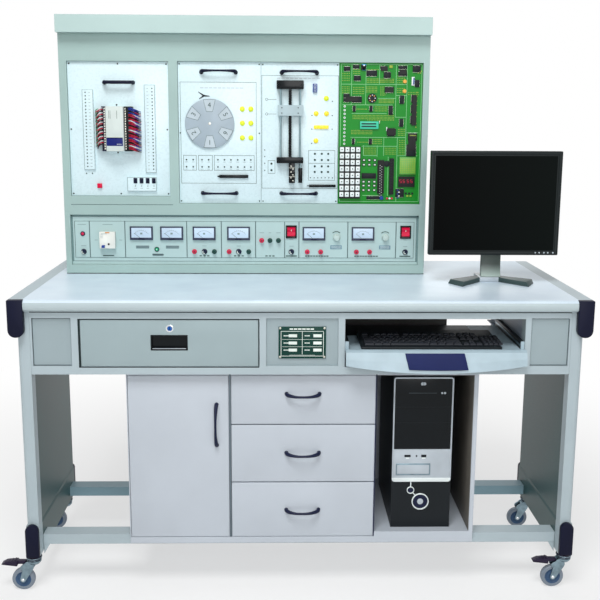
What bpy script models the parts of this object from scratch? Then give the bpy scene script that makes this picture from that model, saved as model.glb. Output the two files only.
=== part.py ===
# Controller training rig: a wheeled desk with a cabinet and a computer, and an upright console
# of experiment boards on it. Metres, +X right, +Y back and +Z up as seen from the front. Places
# are given from the middle of the worktop's front edge; heights are from the floor for what
# stands on it, and from the worktop's upper face for what hangs under it or stands on it.

from math import atan2, cos, pi, radians, sin, tan

import bmesh
import bpy
from mathutils import Matrix, Vector

# Clearances and sheets shared by many pieces
FIT = 0.0003
SEAM = 0.0008
LAP = 0.001
OVERRUN = 0.006
WELD = 0.00001
SHEET = 0.0025
CONSOLE_SHEET = 0.002
ROUND_SIDES = 16
PIN_SIDES = 12
ARC_STEPS = 3

# Worktop
TOP_WIDTH = 1.600
TOP_DEPTH = 0.735
TOP_HEIGHT = 0.860
BOARD_THICK = 0.033
BOARD_ROUND = 0.013

# Side frames: top beam, post, panel and foot beam
BEAM_WIDE = 0.038
BEAM_TALL = 0.103
FACE_Y = 0.018
POST_LAP = 0.016
POST_WIDE = 0.035
POST_DEEP = 0.037
POST_ROUND = 0.012
PANEL_INSET = 0.002
PANEL_THICK = 0.003
FRAME_REAR = 0.485
FOOT_LAP = 0.0165
FOOT_WIDE = 0.038
FOOT_BASE = 0.112
FOOT_TALL = 0.098
FOOT_ROUND = 0.012

# Moulded caps on the beam ends
TOP_CAP_PROUD = 0.005
TOP_CAP_RISE = 0.002
TOP_CAP_FLANGE = 0.005
TOP_CAP_ROUND = 0.012
FOOT_CAP_DEEP = 0.015

# Floor rails between the side frames
RAIL_BASE = 0.130
RAIL_TALL = 0.030
RAIL_DEEP = 0.050
FRONT_RAIL_Y = 0.057
REAR_RAIL_Y = 0.412
GUSSET_WIDE = 0.018
GUSSET_TALL = 0.030
GUSSET_DEEP = 0.030

# Casters
CASTER_INSET = 0.030
CASTER_FRONT_Y = 0.040
CASTER_REAR_Y = 0.455
CASTER_TRAIL = 0.032
WHEEL_RADIUS = 0.033
WHEEL_WIDE = 0.018
WHEEL_CHAMFER = 0.004
WHEEL_SIDES = 24
AXLE_RADIUS = 0.004
STEM_RADIUS = 0.006
STEM_TALL = 0.025
SWIVEL_RADIUS = 0.014
FORK_THICK = 0.0025
FORK_GAP = 0.001
CROWN_RISE = 0.037
CROWN_THICK = 0.004
CROWN_REACH = 0.010
AXLE_LAND = 0.008
LEG_WAIST = 0.020
LUG_BACK = 0.013
LUG_WIDE = 0.014
LUG_TALL = 0.017
LEVER_PIVOT_X = 0.006
LEVER_PIVOT_Z = 0.052
LEVER_HUB = 0.005
LEVER_REACH = 0.060
LEVER_THICK = 0.004
LEVER_WIDE = 0.016
PEDAL_LONG = 0.028
PEDAL_WIDE = 0.026

# Desk housing under the worktop: front sheet, recesses, drawer bay and tray bay. Heights are
# from the worktop's upper face, and widths are shares of half the housing
HOUSE_BASE = -0.211
HOUSE_REAR = 0.440
TIE_TALL = 0.0397
RECESS_DEEP = 0.006
BLANK_SHARES = (0.85021, 0.99236)
BLANK_BASE = -0.187
BLANK_TOP = -0.052
DRAWER_BAY_SHARES = (-0.82071, -0.15824)
DRAWER_BAY_BASE = -0.1885
DRAWER_BAY_TOP = -0.054
INFO_SHARE = 0.13343
INFO_PLATE_SHARE = 0.08784
INFO_PLATE_BASE = -0.166
INFO_PLATE_TOP = -0.0755
INFO_PLATE_RISE = 0.003
TRAY_BAY_SHARES = (0.15824, 0.82875)
TRAY_BAY_BASE = -0.190
TRAY_BAY_TOP = -0.0535
REAR_SHEET_SHARE = 0.637
REAR_SHEET_BASE = -0.172
RUNNER_WIDE = 0.012
RUNNER_THICK = 0.003

# Desk drawer, with its pull and lock as shares of the bay's width
DESK_FRONT_GAP = 0.003
DESK_DRAWER_THICK = 0.016
DESK_DRAWER_REAR = 0.420
DESK_BOX_TOP = -0.080
DESK_BOX_INSET = 0.009
PULL_SHARES = (0.39474, 0.60121)
PULL_BASE = -0.143
PULL_TOP = -0.099
PULL_DEEP = 0.012
LOCK_SHARE = 0.50202
LOCK_Z = -0.081
LOCK_RADIUS = 0.011
LOCK_DEEP = 0.010
LOCK_PROUD = 0.001

# Keyboard tray, its moulded band, the pad on it and the keyboard, with both as shares of the
# tray bay's width
TRAY_TOP = -0.140
TRAY_THICK = 0.005
TRAY_FRONT = 0.003
TRAY_REAR = 0.330
TRAY_RAIL_WIDE = 0.010
TRAY_RAIL_TALL = 0.022
TRAY_RAIL_FRONT = 0.020
BAND_BACK = 0.006
BAND_TOP = -0.1365
BAND_THICK = 0.006
BAND_SHOULDER = 0.010
BAND_NOSE = 0.020
BAND_DROP = 0.0045
BAND_LOW_END = -0.177
BAND_LOW_MIDDLE = -0.196
BAND_OUT_END = 0.022
BAND_OUT_MIDDLE = 0.032
BAND_SWELL = 0.002
BAND_COLUMNS = 24
PAD_SHARES = (0.324, 0.650)
PAD_SLANT = 0.012
PAD_THICK = 0.005
PAD_TOP_SHARE = 0.04
PAD_BOTTOM_SHARE = 0.86
PAD_COLUMNS = 8
KEYBOARD_SHARES = (0.090, 0.870)
KEYBOARD_FRONT = 0.008
KEYBOARD_DEEP = 0.178
KEYBOARD_FRONT_TALL = 0.012
KEYBOARD_REAR_TALL = 0.022

# Cabinet that stands on the floor rails, with its drawers and handles as shares of the height
# of its fronts
CABINET_LEFT = -0.491
CABINET_RIGHT = 0.499
CABINET_FRONT = 0.040
CABINET_REAR = 0.450
CABINET_HEADROOM = 0.004
PLINTH_BASE = 0.139
PLINTH_TOP = 0.1575
FRONT_DROP = 0.0045
FRONT_THICK = 0.0165
FRONT_RIM = 0.003
DOOR_BAY_RIGHT = -0.2045
STACK_LEFT = -0.1995
STACK_RIGHT = 0.2095
TOWER_BAY_LEFT = 0.2115
TOWER_BAY_RIGHT = 0.487
TOWER_BAY_FLOOR = 0.172
DRAWER_SPLIT_SHARES = (0.34472, 0.70083)
SPLIT_GAP = 0.003
DRAWER_REAR = 0.438
DRAWER_BOX_DROP = 0.030
DRAWER_BOX_LIFT = 0.006
BOW_RADIUS = 0.0045
BOW_OUT = 0.024
BOW_BEND = 0.008
DOOR_BOW_X = -0.239
DOOR_BOW_SHARES = (0.57660, 0.83126)
DRAWER_BOW_LEFT = -0.044
DRAWER_BOW_RIGHT = 0.055
DRAWER_BOW_SHARES = (0.17288, 0.52899, 0.88923)

# Computer tower, whose bezel starts at a share of its height
TOWER_LEFT = 0.263
TOWER_RIGHT = 0.435
TOWER_FRONT = 0.070
TOWER_REAR = 0.400
TOWER_HEADROOM = 0.0135
TOWER_SHEET = 0.0012
BEZEL_SHARE = 0.31209
BEZEL_THICK = 0.005
BEZEL_ROUND = 0.008
BEZEL_INSET = 0.001
TOWER_MOUTH_RIM = 0.006

# Monitor, with heights from the worktop's upper face
MONITOR_X = 0.576
MONITOR_WIDE = 0.389
MONITOR_BASE = 0.088
MONITOR_TOP = 0.396
MONITOR_FRONT = 0.270
MONITOR_THICK = 0.022
MONITOR_BULGE = 0.012
MONITOR_BULGE_HALF = 0.130
MONITOR_BULGE_BASE = 0.128
MONITOR_BULGE_TOP = 0.350
TILT_Y = 0.322
TILT_Z = 0.212
TILT_PIN = 0.005
TILT_LUG_THICK = 0.008
TILT_LUG_HALF = 0.010
TILT_LUG_BACK = 0.006
KNUCKLE_HALF = 0.021
NECK_WIDE = 0.060
NECK_FRONT = 0.334
NECK_THICK = 0.018
NECK_TOP = 0.230
SWIVEL_Y = 0.345
SWIVEL_HUB = 0.035
STAND_THICK = 0.015
STAND_LEG_WIDE = 0.036
STAND_TIP_X = 0.124
STAND_TIP_Y = 0.225
STAND_REAR = 0.400

# Console: housing, hood and back cover, with heights from the worktop's upper face
CONSOLE_LEFT = -0.734
CONSOLE_RIGHT = 0.397
CONSOLE_FRONT = 0.450
CONSOLE_REAR = 0.730
CONSOLE_TOP = 0.735
FRAME_SHEET = 0.0025
HOOD_FRONT = 0.418
HOOD_TALL = 0.052
HOOD_MOUTH_RIM = 0.015
BACK_COVER_THICK = 0.0015
BACK_COVER_INSET = 0.002
REVEAL = 0.0125
LIP_THICK = 0.004
LIP_WIDE = 0.008
MULLION_X = 0.120
MULLION_WIDE = 0.016
BOARD_FIT = 0.0005
PANEL_BOARD_THICK = 0.004
PLC_BAY_LEFT = -0.711
PLC_BAY_RIGHT = -0.403
PLC_BAY_BASE = 0.245
PLC_BAY_TOP = 0.654
WORK_BAY_LEFT = -0.375
WORK_BAY_RIGHT = 0.378
WORK_BAY_BASE = 0.223
WORK_BAY_TOP = 0.655
POWER_BAY_LEFT = -0.717
POWER_BAY_RIGHT = 0.377
POWER_BAY_BASE = 0.029
POWER_BAY_TOP = 0.1865

# Controller board
STRIP_RISE = 0.006
LEFT_STRIP_X = (-0.665, -0.639)
LEFT_STRIP_Z = (0.290, 0.570)
RIGHT_STRIP_X = (-0.476, -0.448)
RIGHT_STRIP_Z = (0.2785, 0.584)
PLC_BOW_X = (-0.5985, -0.5115)
PLC_BOW_Z = 0.591
BUTTON_X = -0.629
BUTTON_Z = 0.2687
BUTTON_RADIUS = 0.008
BUTTON_RISE = 0.007
SWITCH_BOX_X = (-0.536, -0.445)
SWITCH_BOX_Z = (0.260, 0.304)
SWITCH_BOX_RISE = 0.008
TOGGLES = 4
TOGGLE_FIRST_X = -0.5107
TOGGLE_PITCH = 0.0190
TOGGLE_Z = 0.2935
TOGGLE_HUB = 0.003
TOGGLE_HALF = 0.002
TOGGLE_STICK = 0.0015
TOGGLE_LONG = 0.014
TOGGLE_DEEP = 0.0033
TOGGLE_SLOT_HALF = 0.0045
TOGGLE_SLOT_DEEP = 0.0068
TOGGLE_LEAN = radians(20)
UNIT_X = (-0.605, -0.512)
UNIT_Z = (0.384, 0.519)
UNIT_DEEP = 0.035
UNIT_BODY_X = (-0.590, -0.5365)
UNIT_BODY_DEEP = 0.050

# Boards of the work bay: the bow handles and name bars they carry
WORK_BOW_HIGH = 0.6253
WORK_BOW_LOW = 0.2549
WORK_BOW_RADIUS = 0.004
WORK_BOW_OUT = 0.022
BAR_RISE = 0.002
BAR_TALL = 0.007
TOOL_BOW_X = (-0.308, -0.193)
TOOL_BAR_X = (-0.253, -0.159)
TOOL_BAR_Z = 0.314
DISC_X = -0.2785
DISC_Z = 0.4685
DISC_RADIUS = 0.076
DISC_THICK = 0.006
DISC_HUB = 0.014
DISC_STAND = 0.002
DISC_PIN = 0.006
DISC_SIDES = 32
MOTION_BOW_X = (-0.0618, 0.0569)
MOTION_BAR_X = (0.026, 0.117)
MOTION_BAR_Z = 0.2816

# Guide frame, lead screw and carriage of the positioning board
GUIDE_X = (-0.072, 0.0105)
GUIDE_DEEP = 0.028
GUIDE_HEAD_Z = (0.574, 0.600)
GUIDE_FOOT_Z = (0.350, 0.368)
GUIDE_ROD_X = (-0.0595, 0.000)
GUIDE_ROD = 0.003
GUIDE_ROD_OUT = 0.016
SCREW_X = -0.0305
SCREW_RADIUS = 0.0055
SCREW_JOURNAL = 0.004
SCREW_JOURNAL_LONG = 0.006
MOTOR_X = (-0.034, -0.015)
MOTOR_Z = 0.289
MOTOR_FRONT = 0.022
PISTON_X = 0.002
PISTON_RADIUS = 0.0065
PISTON_Z = (0.289, 0.335)
CARRIAGE_X = (-0.068, 0.010)
CARRIAGE_Z = (0.494, 0.526)
CARRIAGE_BACK = 0.003

# Microcontroller board: raised parts as shares of the board, as middle x, middle z, width, height
KEYPAD_SHARES = (0.140, 0.226, 0.255, 0.3725)
KEYPAD_RISE = 0.010
CHIP_RISE = 0.005
CHIP_SHARES = (
    (0.367, 0.5645, 0.222, 0.053),
    (0.9065, 0.670, 0.055, 0.212),
    (0.843, 0.276, 0.200, 0.124),
    (0.834, 0.162, 0.200, 0.075),
    (0.519, 0.197, 0.082, 0.240),
    (0.650, 0.200, 0.056, 0.260),
    (0.374, 0.203, 0.174, 0.039),
    (0.286, 0.966, 0.060, 0.035),
    (0.535, 0.960, 0.080, 0.032),
    (0.760, 0.938, 0.080, 0.032),
    (0.598, 0.811, 0.100, 0.034),
    (0.156, 0.7475, 0.150, 0.036),
    (0.635, 0.518, 0.110, 0.045),
    (0.890, 0.437, 0.090, 0.100),
)

# Power strip: plates and meters as shares of the strip's length
STRIP_LEFT = -0.7065
STRIP_RIGHT = 0.364
STRIP_BASE = 0.0505
STRIP_TOP = 0.1657
FASCIA_THICK = 0.002
PLATE_RISE = 0.0015
PLATE_GAP = 0.003
PLATE_SHARES = (0, 0.0434, 0.1471, 0.3284, 0.4302, 0.531, 0.617, 0.659, 0.8038, 0.9467, 1)
METER_WIDE = 0.072
METER_BASE = 0.107
METER_TALL = 0.043
METER_RISE = 0.007
METER_SHARES = (0.1621, 0.2508, 0.3461, 0.4474, 0.6697, 0.8147)
BREAKER_X = (-0.627, -0.578)
BREAKER_Z = (0.081, 0.1335)
BREAKER_DEEP = 0.018
BREAKER_TEST_X = -0.598
BREAKER_TEST_Z = 0.1265
BREAKER_TEST = 0.003
BREAKER_LEVER_X = -0.6146
BREAKER_LEVER_Z = 0.0947
BREAKER_LEVER_DEEP = 0.006
BREAKER_HUB = 0.0055
BREAKER_LEVER_HALF = 0.0055
BREAKER_LEVER_LONG = 0.016
BREAKER_LEVER_THICK = 0.004
BREAKER_SLOT_HALF = 0.0072
BREAKER_SLOT_DEEP = 0.0125
BREAKER_LEAN = radians(35)
ROCKER_XS = (-0.025, 0.3373)
ROCKER_Z = 0.1337
ROCKER_HALF = 0.0125
ROCKER_RADIUS = 0.0155
ROCKER_DEEP = 0.006
ROCKER_FLAT = 0.010
ROCKER_SIDES = 12
ROCKER_HOLE_HALF = 0.0160
ROCKER_RIM = 0.003
ROCKER_RIM_RISE = 0.003
KNOB_XS = (0.1185, 0.2733)
KNOB_Z = 0.116
KNOB_RADIUS = 0.010
KNOB_TALL = 0.014
KNOB_SKIRT = 0.0125
KNOB_SKIRT_TALL = 0.003
KNOB_SKIRT_STEP = 0.0001
KNOB_SHAFT = 0.003
KNOB_SHAFT_LONG = 0.010

# Colours as sRGB, roughness and metallic value
FINISHES = {
    "worktop": (0xCDE2F0, 0.35, 0.0),
    "frame grey": (0xB5C9CC, 0.40, 0.2),
    "navy cap": (0x1F2550, 0.45, 0.0),
    "cabinet grey": (0xC9D2DC, 0.40, 0.2),
    "console green": (0xA9CBC3, 0.45, 0.2),
    "hood green": (0xC8DCD8, 0.45, 0.2),
    "zinc": (0xA8AEB4, 0.35, 0.9),
    "wheel": (0x6E7C90, 0.55, 0.0),
    "pedal": (0x2A2238, 0.50, 0.0),
    "lock": (0xB8BEC2, 0.25, 0.9),
    "tray": (0xDCEAF2, 0.45, 0.0),
    "pad": (0x2A3068, 0.60, 0.0),
    "keyboard": (0x22262C, 0.50, 0.0),
    "tower black": (0x141A22, 0.30, 0.0),
    "monitor black": (0x1B2020, 0.35, 0.0),
    "board white": (0xEAF7FB, 0.30, 0.0),
    "circuit green": (0x2C9A3F, 0.45, 0.0),
    "unit grey": (0xC9D4D8, 0.50, 0.0),
    "disc": (0x8FA3B5, 0.35, 0.3),
    "machined": (0xB8C3CC, 0.30, 0.9),
    "rocker red": (0xC8174A, 0.35, 0.0),
    "knob": (0x20242A, 0.40, 0.0),
    "toggle": (0xD0D5D8, 0.25, 0.9),
}

# Places worked out from the sizes above
TOP_UNDER = TOP_HEIGHT - BOARD_THICK
BEAM_INNER = TOP_WIDTH / 2 - BEAM_WIDE
BEAM_BASE = TOP_HEIGHT - BEAM_TALL
POST_INNER = BEAM_INNER - POST_LAP
FOOT_INNER = BEAM_INNER - FOOT_LAP
CASTER_X = TOP_WIDTH / 2 - CASTER_INSET
HOUSE_HALF = POST_INNER - FIT
HOUSE_TOP = -BOARD_THICK - FIT
TIE_BASE = HOUSE_TOP - TIE_TALL
BLANK_INNER, BLANK_OUTER = (share * HOUSE_HALF for share in BLANK_SHARES)
DRAWER_BAY_LEFT, DRAWER_BAY_RIGHT = (share * HOUSE_HALF for share in DRAWER_BAY_SHARES)
INFO_HALF = INFO_SHARE * HOUSE_HALF
INFO_PLATE_HALF = INFO_PLATE_SHARE * HOUSE_HALF
TRAY_BAY_LEFT, TRAY_BAY_RIGHT = (share * HOUSE_HALF for share in TRAY_BAY_SHARES)
DRAWER_BAY_WIDE = DRAWER_BAY_RIGHT - DRAWER_BAY_LEFT
PULL_LEFT, PULL_RIGHT = (DRAWER_BAY_LEFT + share * DRAWER_BAY_WIDE for share in PULL_SHARES)
LOCK_X = DRAWER_BAY_LEFT + LOCK_SHARE * DRAWER_BAY_WIDE
TRAY_BAY_WIDE = TRAY_BAY_RIGHT - TRAY_BAY_LEFT
PAD_LEFT, PAD_RIGHT = (TRAY_BAY_LEFT + share * TRAY_BAY_WIDE for share in PAD_SHARES)
KEYBOARD_LEFT, KEYBOARD_RIGHT = (TRAY_BAY_LEFT + share * TRAY_BAY_WIDE for share in KEYBOARD_SHARES)
CABINET_TOP = TOP_HEIGHT + HOUSE_BASE - CABINET_HEADROOM
FRONT_TOP = CABINET_TOP - FRONT_DROP
FRONT_TALL = FRONT_TOP - PLINTH_TOP
DRAWER_SPLITS = [PLINTH_TOP + share * FRONT_TALL for share in DRAWER_SPLIT_SHARES]
DOOR_BOW_BASE, DOOR_BOW_TOP = (PLINTH_TOP + share * FRONT_TALL for share in DOOR_BOW_SHARES)
DRAWER_BOW_HEIGHTS = [PLINTH_TOP + share * FRONT_TALL for share in DRAWER_BOW_SHARES]
TOWER_TOP = FRONT_TOP - TOWER_HEADROOM
BEZEL_BASE = TOWER_BAY_FLOOR + BEZEL_SHARE * (TOWER_TOP - TOWER_BAY_FLOOR)
RAIL_TOP = RAIL_BASE + RAIL_TALL
FOOT_TOP = FOOT_BASE + FOOT_TALL
CABINET_BASE = RAIL_TOP + FIT
CABINET_FLOOR = CABINET_BASE + SHEET
CABINET_INSIDE = CABINET_LEFT + SHEET
BOARD_BACK = CONSOLE_FRONT + REVEAL - FIT
BOARD_FACE = BOARD_BACK - PANEL_BOARD_THICK
FASCIA_FACE = BOARD_BACK - FASCIA_THICK
PLATE_FACE = FASCIA_FACE - PLATE_RISE
CONSOLE_BASE = FIT
HOOD_BASE = CONSOLE_TOP + FIT
HOOD_TOP = CONSOLE_TOP + HOOD_TALL
FORK_INNER = WHEEL_WIDE / 2 + FORK_GAP
FORK_OUTER = FORK_INNER + FORK_THICK

SIDES = {"left": -1, "right": 1}
AXES = {"X": (1, 2, 0), "Y": (0, 2, 1), "Z": (0, 1, 2)}

for old in list(bpy.data.objects):
    bpy.data.objects.remove(old)

rig = bpy.data.objects.new("rig", None)
bpy.context.scene.collection.objects.link(rig)
nodes = []


# Shapes
def solid(bm):
    """An object from the shape in bm, with its faces pointing out."""
    bmesh.ops.recalc_face_normals(bm, faces=bm.faces)
    mesh = bpy.data.meshes.new("shape")
    bm.to_mesh(mesh)
    bm.free()
    obj = bpy.data.objects.new("shape", mesh)
    bpy.context.scene.collection.objects.link(obj)
    return obj


def on_axis(axis, point, along):
    """The place at point, a pair of coordinates across the axis, and along it."""
    spot = Vector()
    spot[AXES[axis][0]], spot[AXES[axis][1]] = point[0], point[1]
    spot[AXES[axis][2]] = along
    return spot


def box(x, y, z):
    """A box between the two limits given for each direction."""
    low, high = (Vector(ends) for ends in zip(x, y, z))
    bm = bmesh.new()
    shape = Matrix.Translation((low + high) / 2) @ Matrix.Diagonal((*(high - low), 1))
    bmesh.ops.create_cube(bm, size=1, matrix=shape)
    return solid(bm)


def rounded(corners, steps=ARC_STEPS):
    """Points of an outline or a path whose corners, as (a, b, radius), are turned as arcs."""
    points = []
    for index, (a, b, radius) in enumerate(corners):
        here = Vector((a, b))
        if not radius:
            points.append(here)
            continue
        before = (Vector(corners[index - 1][:2]) - here).normalized()
        after = (Vector(corners[(index + 1) % len(corners)][:2]) - here).normalized()
        half = before.angle(after) / 2
        centre = here + (before + after).normalized() * radius / sin(half)
        first = here + before * radius / tan(half) - centre
        last = here + after * radius / tan(half) - centre
        start = atan2(first.y, first.x)
        turn = (atan2(last.y, last.x) - start + pi) % (2 * pi) - pi
        for step in range(steps + 1):
            angle = start + turn * step / steps
            points.append(centre + radius * Vector((cos(angle), sin(angle))))
    return points


def circle(centre, radius, sides, start=0):
    """Points of a regular outline round the centre."""
    turns = [start + 2 * pi * index / sides for index in range(sides)]
    return [Vector(centre) + radius * Vector((cos(turn), sin(turn))) for turn in turns]


def prism(axis, outline, along):
    """A solid with this outline between two places along the axis."""
    bm = bmesh.new()
    face = bm.faces.new([bm.verts.new(on_axis(axis, point, along[0])) for point in outline])
    grown = bmesh.ops.extrude_face_region(bm, geom=[face])["geom"]
    verts = [item for item in grown if isinstance(item, bmesh.types.BMVert)]
    bmesh.ops.translate(bm, vec=on_axis(axis, (0, 0), along[1] - along[0]), verts=verts)
    return solid(bm)


def rod(axis, centre, radius, along, sides=ROUND_SIDES):
    """A round bar."""
    return prism(axis, circle(centre, radius, sides), along)


def turned(axis, centre, profile, sides, start=0):
    """A ring turned about the axis from a closed profile of (radius, along) points."""
    bm = bmesh.new()
    verts = []
    for radius, along in profile:
        point = Vector(centre) + radius * Vector((cos(start), sin(start)))
        verts.append(bm.verts.new(on_axis(axis, point, along)))
    edges = [bm.edges.new((verts[index - 1], verts[index])) for index in range(len(verts))]
    bmesh.ops.spin(bm, geom=verts + edges, cent=on_axis(axis, centre, 0),
                   axis=on_axis(axis, (0, 0), 1), angle=2 * pi, steps=sides, use_merge=True)
    bmesh.ops.remove_doubles(bm, verts=bm.verts, dist=WELD)
    return solid(bm)


def lofted(sections):
    """A closed solid through sections that are rings of as many points each."""
    bm = bmesh.new()
    rings = [[bm.verts.new(point) for point in section] for section in sections]
    for ring, other in zip(rings, rings[1:]):
        for index in range(len(ring)):
            bm.faces.new((ring[index - 1], ring[index], other[index], other[index - 1]))
    bm.faces.new(rings[0])
    bm.faces.new(rings[-1])
    return solid(bm)


def bow(ends, face, out, radius, upright=None, level=None):
    """A bow handle on a face that looks to the front, between two ends along X or along Z."""
    corners = [(ends[0], face + LAP, 0), (ends[0], face - out, BOW_BEND),
               (ends[1], face - out, BOW_BEND), (ends[1], face + LAP, 0)]
    curve = bpy.data.curves.new("bow", "CURVE")
    curve.dimensions = "3D"
    curve.bevel_depth = radius
    curve.bevel_resolution = 2
    curve.use_fill_caps = True
    path = rounded(corners)
    spline = curve.splines.new("POLY")
    spline.points.add(len(path) - 1)
    for point, (along, depth) in zip(spline.points, path):
        spot = Vector((along, depth, level) if upright is None else (upright, depth, along))
        point.co = spot.to_4d()
    guide = bpy.data.objects.new("bow", curve)
    bpy.context.scene.collection.objects.link(guide)
    graph = bpy.context.evaluated_depsgraph_get()
    mesh = bpy.data.meshes.new_from_object(guide.evaluated_get(graph))
    bpy.data.objects.remove(guide)
    bm = bmesh.new()
    bm.from_mesh(mesh)
    bmesh.ops.remove_doubles(bm, verts=bm.verts, dist=WELD)
    return solid(bm)


def settled(obj):
    """Writes the shape that the modifiers give into the object's own mesh."""
    graph = bpy.context.evaluated_depsgraph_get()
    mesh = bpy.data.meshes.new_from_object(obj.evaluated_get(graph))
    obj.modifiers.clear()
    obj.data = mesh
    return obj


def combined(obj, others, operation):
    for other in others:
        change = obj.modifiers.new(operation, "BOOLEAN")
        change.operation = operation
        change.object = other
        settled(obj)
        bpy.data.objects.remove(other)
    return obj


def join(obj, *others):
    """One body from shapes that run into each other."""
    return combined(obj, others, "UNION")


def cut(obj, *others):
    """The body without the shapes cut from it."""
    return combined(obj, others, "DIFFERENCE")


def linear(level):
    return level / 12.92 if level <= 0.04045 else ((level + 0.055) / 1.055) ** 2.4


def paint(name, finish):
    """The material of one piece."""
    colour, roughness, metallic = FINISHES[finish]
    material = bpy.data.materials.new(name)
    material.use_nodes = True
    shader = material.node_tree.nodes["Principled BSDF"]
    levels = [linear((colour >> shift & 255) / 255) for shift in (16, 8, 0)]
    shader.inputs["Base Color"].default_value = (*levels, 1)
    shader.inputs["Roughness"].default_value = roughness
    shader.inputs["Metallic"].default_value = metallic
    return material


def place(name, obj, finish, at=None, smooth=False):
    """Names a finished piece and puts its origin at its joint or in the middle of its foot."""
    spots = [vert.co for vert in obj.data.vertices]
    low, high = (Vector([pick(spot[index] for spot in spots) for index in range(3)]) for pick in (min, max))
    origin = Vector(((low.x + high.x) / 2, (low.y + high.y) / 2, low.z)) if at is None else Vector(at)
    obj.data.transform(Matrix.Translation(-origin))
    obj.location = origin
    obj.name = name
    obj.data.name = name
    obj.data.materials.clear()
    obj.data.materials.append(paint(name, finish))
    if smooth:
        obj.data.shade_smooth()
        obj.data.set_sharp_from_angle(angle=radians(35))
    obj.parent = rig
    nodes.append(obj)
    return obj


def twin(name, source, move):
    """A second piece of the same shape, moved from the first."""
    obj = bpy.data.objects.new(name, source.data)
    bpy.context.scene.collection.objects.link(obj)
    obj.location = source.location + Vector(move)
    obj.parent = rig
    nodes.append(obj)
    return obj


def span(middle, half):
    return (middle - half, middle + half)


def mirrored(ends, side):
    """Two limits on the right side, or their mirror on the left."""
    return tuple(sorted(side * end for end in ends))


# Worktop and the two side frames
top_outline = rounded([(0, TOP_UNDER, BOARD_ROUND), (TOP_DEPTH, TOP_UNDER, 0),
                       (TOP_DEPTH, TOP_HEIGHT, 0), (0, TOP_HEIGHT, BOARD_ROUND)])
table_top = prism("X", top_outline, span(0, BEAM_INNER - FIT))
place("table_top", table_top, "worktop")


def side_frame(side):
    """Top beam, post, panel and foot beam of one side, with bores for the caster stems."""
    beam = box(mirrored((BEAM_INNER, TOP_WIDTH / 2), side), (FACE_Y + LAP / 2, TOP_DEPTH),
               (BEAM_BASE, TOP_HEIGHT))
    inner, outer = side * POST_INNER, side * (POST_INNER + POST_WIDE)
    post = prism("Z", rounded([(inner, FACE_Y, 0), (outer, FACE_Y, POST_ROUND),
                               (outer, FACE_Y + POST_DEEP, 0), (inner, FACE_Y + POST_DEEP, 0)]),
                 (FOOT_TOP - POST_ROUND, TOP_UNDER - FIT))
    panel_x = POST_INNER + PANEL_INSET
    panel = box(mirrored((panel_x, panel_x + PANEL_THICK), side),
                (FACE_Y + POST_DEEP - LAP, FRAME_REAR - LAP), (FOOT_TOP - POST_ROUND, BEAM_BASE + LAP))
    web = box(mirrored((panel_x + LAP, BEAM_INNER + LAP), side),
              (FACE_Y + POST_DEEP - 2 * LAP, FRAME_REAR - 2 * LAP), (BEAM_BASE + LAP / 2, BEAM_BASE + SHEET))
    foot = prism("Y", foot_outline(side), (FACE_Y + LAP / 2, FRAME_REAR))
    bores = [rod("Z", (side * CASTER_X, y), STEM_RADIUS + FIT,
                 (FOOT_BASE - OVERRUN, FOOT_BASE + STEM_TALL + FIT))
             for y in (CASTER_FRONT_Y, CASTER_REAR_Y)]
    return cut(join(beam, post, panel, web, foot), *bores)


def foot_outline(side):
    inner, outer = side * FOOT_INNER, side * (FOOT_INNER + FOOT_WIDE)
    return rounded([(inner, FOOT_BASE, 0), (outer, FOOT_BASE, 0),
                    (outer, FOOT_TOP, FOOT_ROUND), (inner, FOOT_TOP, FOOT_ROUND)])


def top_cap(side):
    """A cap over the front end of the top beam, with a flange that laps the post."""
    body = prism("X", rounded([(-TOP_CAP_PROUD, BEAM_BASE, TOP_CAP_ROUND), (FACE_Y - FIT, BEAM_BASE, 0),
                               (FACE_Y - FIT, TOP_HEIGHT + TOP_CAP_RISE, 0),
                               (-TOP_CAP_PROUD, TOP_HEIGHT + TOP_CAP_RISE, TOP_CAP_PROUD)]),
                 mirrored((BEAM_INNER, TOP_WIDTH / 2), side))
    flange = box(mirrored((BEAM_INNER - TOP_CAP_FLANGE, BEAM_INNER + LAP), side),
                 (0, FACE_Y - FIT), (BEAM_BASE + TOP_CAP_ROUND, TOP_UNDER - FIT))
    return join(body, flange)


for label, side in SIDES.items():
    place(f"{label}_side_frame", side_frame(side), "frame grey")
    place(f"{label}_top_cap", top_cap(side), "navy cap")
    front_cap = prism("Y", foot_outline(side), (FACE_Y - FIT - FOOT_CAP_DEEP, FACE_Y - FIT))
    front_cap = place(f"{label}_front_foot_cap", front_cap, "navy cap")
    twin(f"{label}_rear_foot_cap", front_cap,
         (0, FRAME_REAR + FIT + FOOT_CAP_DEEP - FACE_Y + FIT, 0))

# Floor rails, the front one with a small gusset at each end
rail_half = FOOT_INNER - FIT
front_rail = box(span(0, rail_half), (FRONT_RAIL_Y, FRONT_RAIL_Y + RAIL_DEEP), (RAIL_BASE, RAIL_TOP))
for side in SIDES.values():
    corner = [(side * rail_half, RAIL_BASE + LAP), (side * rail_half, RAIL_BASE - GUSSET_TALL),
              (side * (rail_half - GUSSET_WIDE), RAIL_BASE),
              (side * (rail_half - GUSSET_WIDE), RAIL_BASE + LAP)]
    join(front_rail, prism("Y", corner, (FRONT_RAIL_Y + LAP, FRONT_RAIL_Y + GUSSET_DEEP)))
place("front_rail", front_rail, "frame grey")
place("rear_rail", box(span(0, rail_half), (REAR_RAIL_Y, REAR_RAIL_Y + RAIL_DEEP), (RAIL_BASE, RAIL_TOP)),
      "frame grey")


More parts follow.
